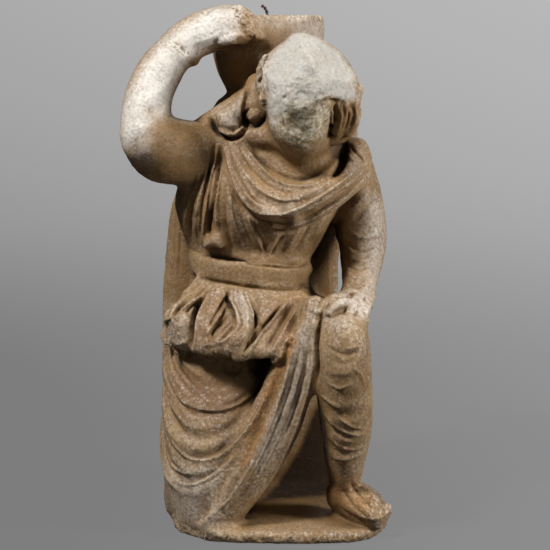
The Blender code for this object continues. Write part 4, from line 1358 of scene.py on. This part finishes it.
def rusted_iron():
    iron, tree, shader = new_material("rusted iron")
    shader.inputs["Metallic"].default_value = 0.35
    grain = grain_at(tree, fine=1800.0, wide=420.0, pits=900.0)
    colour = blend_colour(tree, grain["Cloud"], IRON, BROWN_RUST)
    tree.links.new(colour, shader.inputs["Base Color"])
    tree.links.new(spread(tree, grain["Speckle"], 0, 1, 0.5, 0.85), shader.inputs["Roughness"])
    bump_by(tree, shader, grain["Height"], 0.4, 0.0003)
    return iron


wire.data.materials.append(rusted_iron())

# %% [markdown]
# ## Floor
# The statue stands on a plain pale floor that curves up far behind it into a backdrop, like a
# paper sweep in a studio. It is a round dish, so it serves from every side. A pale floor would
# throw much light up under the arms; this paper throws back little, and only looks pale to the
# camera, through a share of glow that grows towards the backdrop.

# %% Floor
DISH_PROFILE = [(0.001, 0), (0.8, 0), (1.6, 0), (2.4, 0.08), (3.0, 0.4), (3.4, 1.0), (3.5, 1.8)]
DISH_POINTS = 96
DISH_STEPS = 6
FLOOR_DROP = 0.0002
PAPER_GREY = (0.05, 0.05, 0.05, 1)
GLOW_SHARE = 0.75
GLOW_CENTRE = (1.5, 0, 0)
GLOW_RANGE = (1.3, 3.9, 0.25, 0.64)


def studio_floor():
    dish = bmesh.new()
    rings = []
    for radius, height in smooth_path(DISH_PROFILE, DISH_STEPS):
        level = ground.z + height - FLOOR_DROP
        rings.append([
            dish.verts.new((radius * math.cos(a), radius * math.sin(a), level))
            for a in turns(DISH_POINTS)
        ])
    for lower, upper in zip(rings, rings[1:]):
        for i in range(DISH_POINTS):
            j = (i + 1) % DISH_POINTS
            dish.faces.new((lower[i], lower[j], upper[j], upper[i]))
    floor = clay_object("studio_floor", dish)
    floor.data.shade_smooth()
    return floor


def pale_paper():
    paper, tree, shader = new_material("pale paper")
    shader.inputs["Base Color"].default_value = PAPER_GREY
    shader.inputs["Roughness"].default_value = 0.9
    place = put(tree, "ShaderNodeTexCoord")
    shifted = put(tree, "ShaderNodeVectorMath")
    shifted.inputs[1].default_value = GLOW_CENTRE
    reach = put(tree, "ShaderNodeVectorMath", [("operation", "LENGTH")])
    glow = put(tree, "ShaderNodeEmission", Color=(1, 1, 1, 1))
    seen = put(tree, "ShaderNodeLightPath")
    mix = put(tree, "ShaderNodeMixShader")
    tree.links.new(place.outputs["Object"], shifted.inputs[0])
    tree.links.new(shifted.outputs["Vector"], reach.inputs[0])
    tree.links.new(spread(tree, reach.outputs["Value"], *GLOW_RANGE), glow.inputs["Strength"])
    share = sum_up(tree, "MULTIPLY", seen.outputs["Is Camera Ray"], GLOW_SHARE)
    tree.links.new(share, mix.inputs["Fac"])
    tree.links.new(shader.outputs["BSDF"], mix.inputs[1])
    tree.links.new(glow.outputs["Emission"], mix.inputs[2])
    tree.links.new(mix.outputs["Shader"], tree.nodes["Material Output"].inputs["Surface"])
    return paper


floor = studio_floor()
floor.data.materials.append(pale_paper())

# %% [markdown]
# ## Light
# A small softbox high on the left models the folds with dark, clear shadows. A second one on the
# right draws the edge of the sleeve and the falling band. A weak one in front keeps the deepest
# shadows readable, and one behind does the same for the back. A softbox is a name, a place, a
# size in metres and a power in watts. The plain view transform keeps the colours as mixed.

# %% Light
LIGHT_AIM = Vector((0, 0, 0.27))
SOFTBOXES = [
    ("key", (-0.85, -0.80, 1.70), 0.36, 38),
    ("side", (1.32, -0.50, 0.75), 0.45, 20),
    ("front", (-0.1, -2.2, 0.9), 0.9, 2),
    ("back", (0.5, 2.4, 1.3), 1.0, 7),
]
WORLD_STRENGTH = 0.02


def softbox(name, place, size, power):
    data = bpy.data.lights.new(name, "AREA")
    data.shape = "DISK"
    data.size = size
    data.energy = power
    light = add_object(name, data)
    light.location = place
    light.rotation_euler = (LIGHT_AIM - light.location).to_track_quat("-Z", "Y").to_euler()


for row in SOFTBOXES:
    softbox(*row)
world = bpy.data.worlds.new("studio")
world.use_nodes = True
sky = world.node_tree.nodes["Background"]
sky.inputs["Color"].default_value = (1, 1, 1, 1)
sky.inputs["Strength"].default_value = WORLD_STRENGTH
bpy.context.scene.world = world
bpy.context.scene.view_settings.view_transform = "Standard"
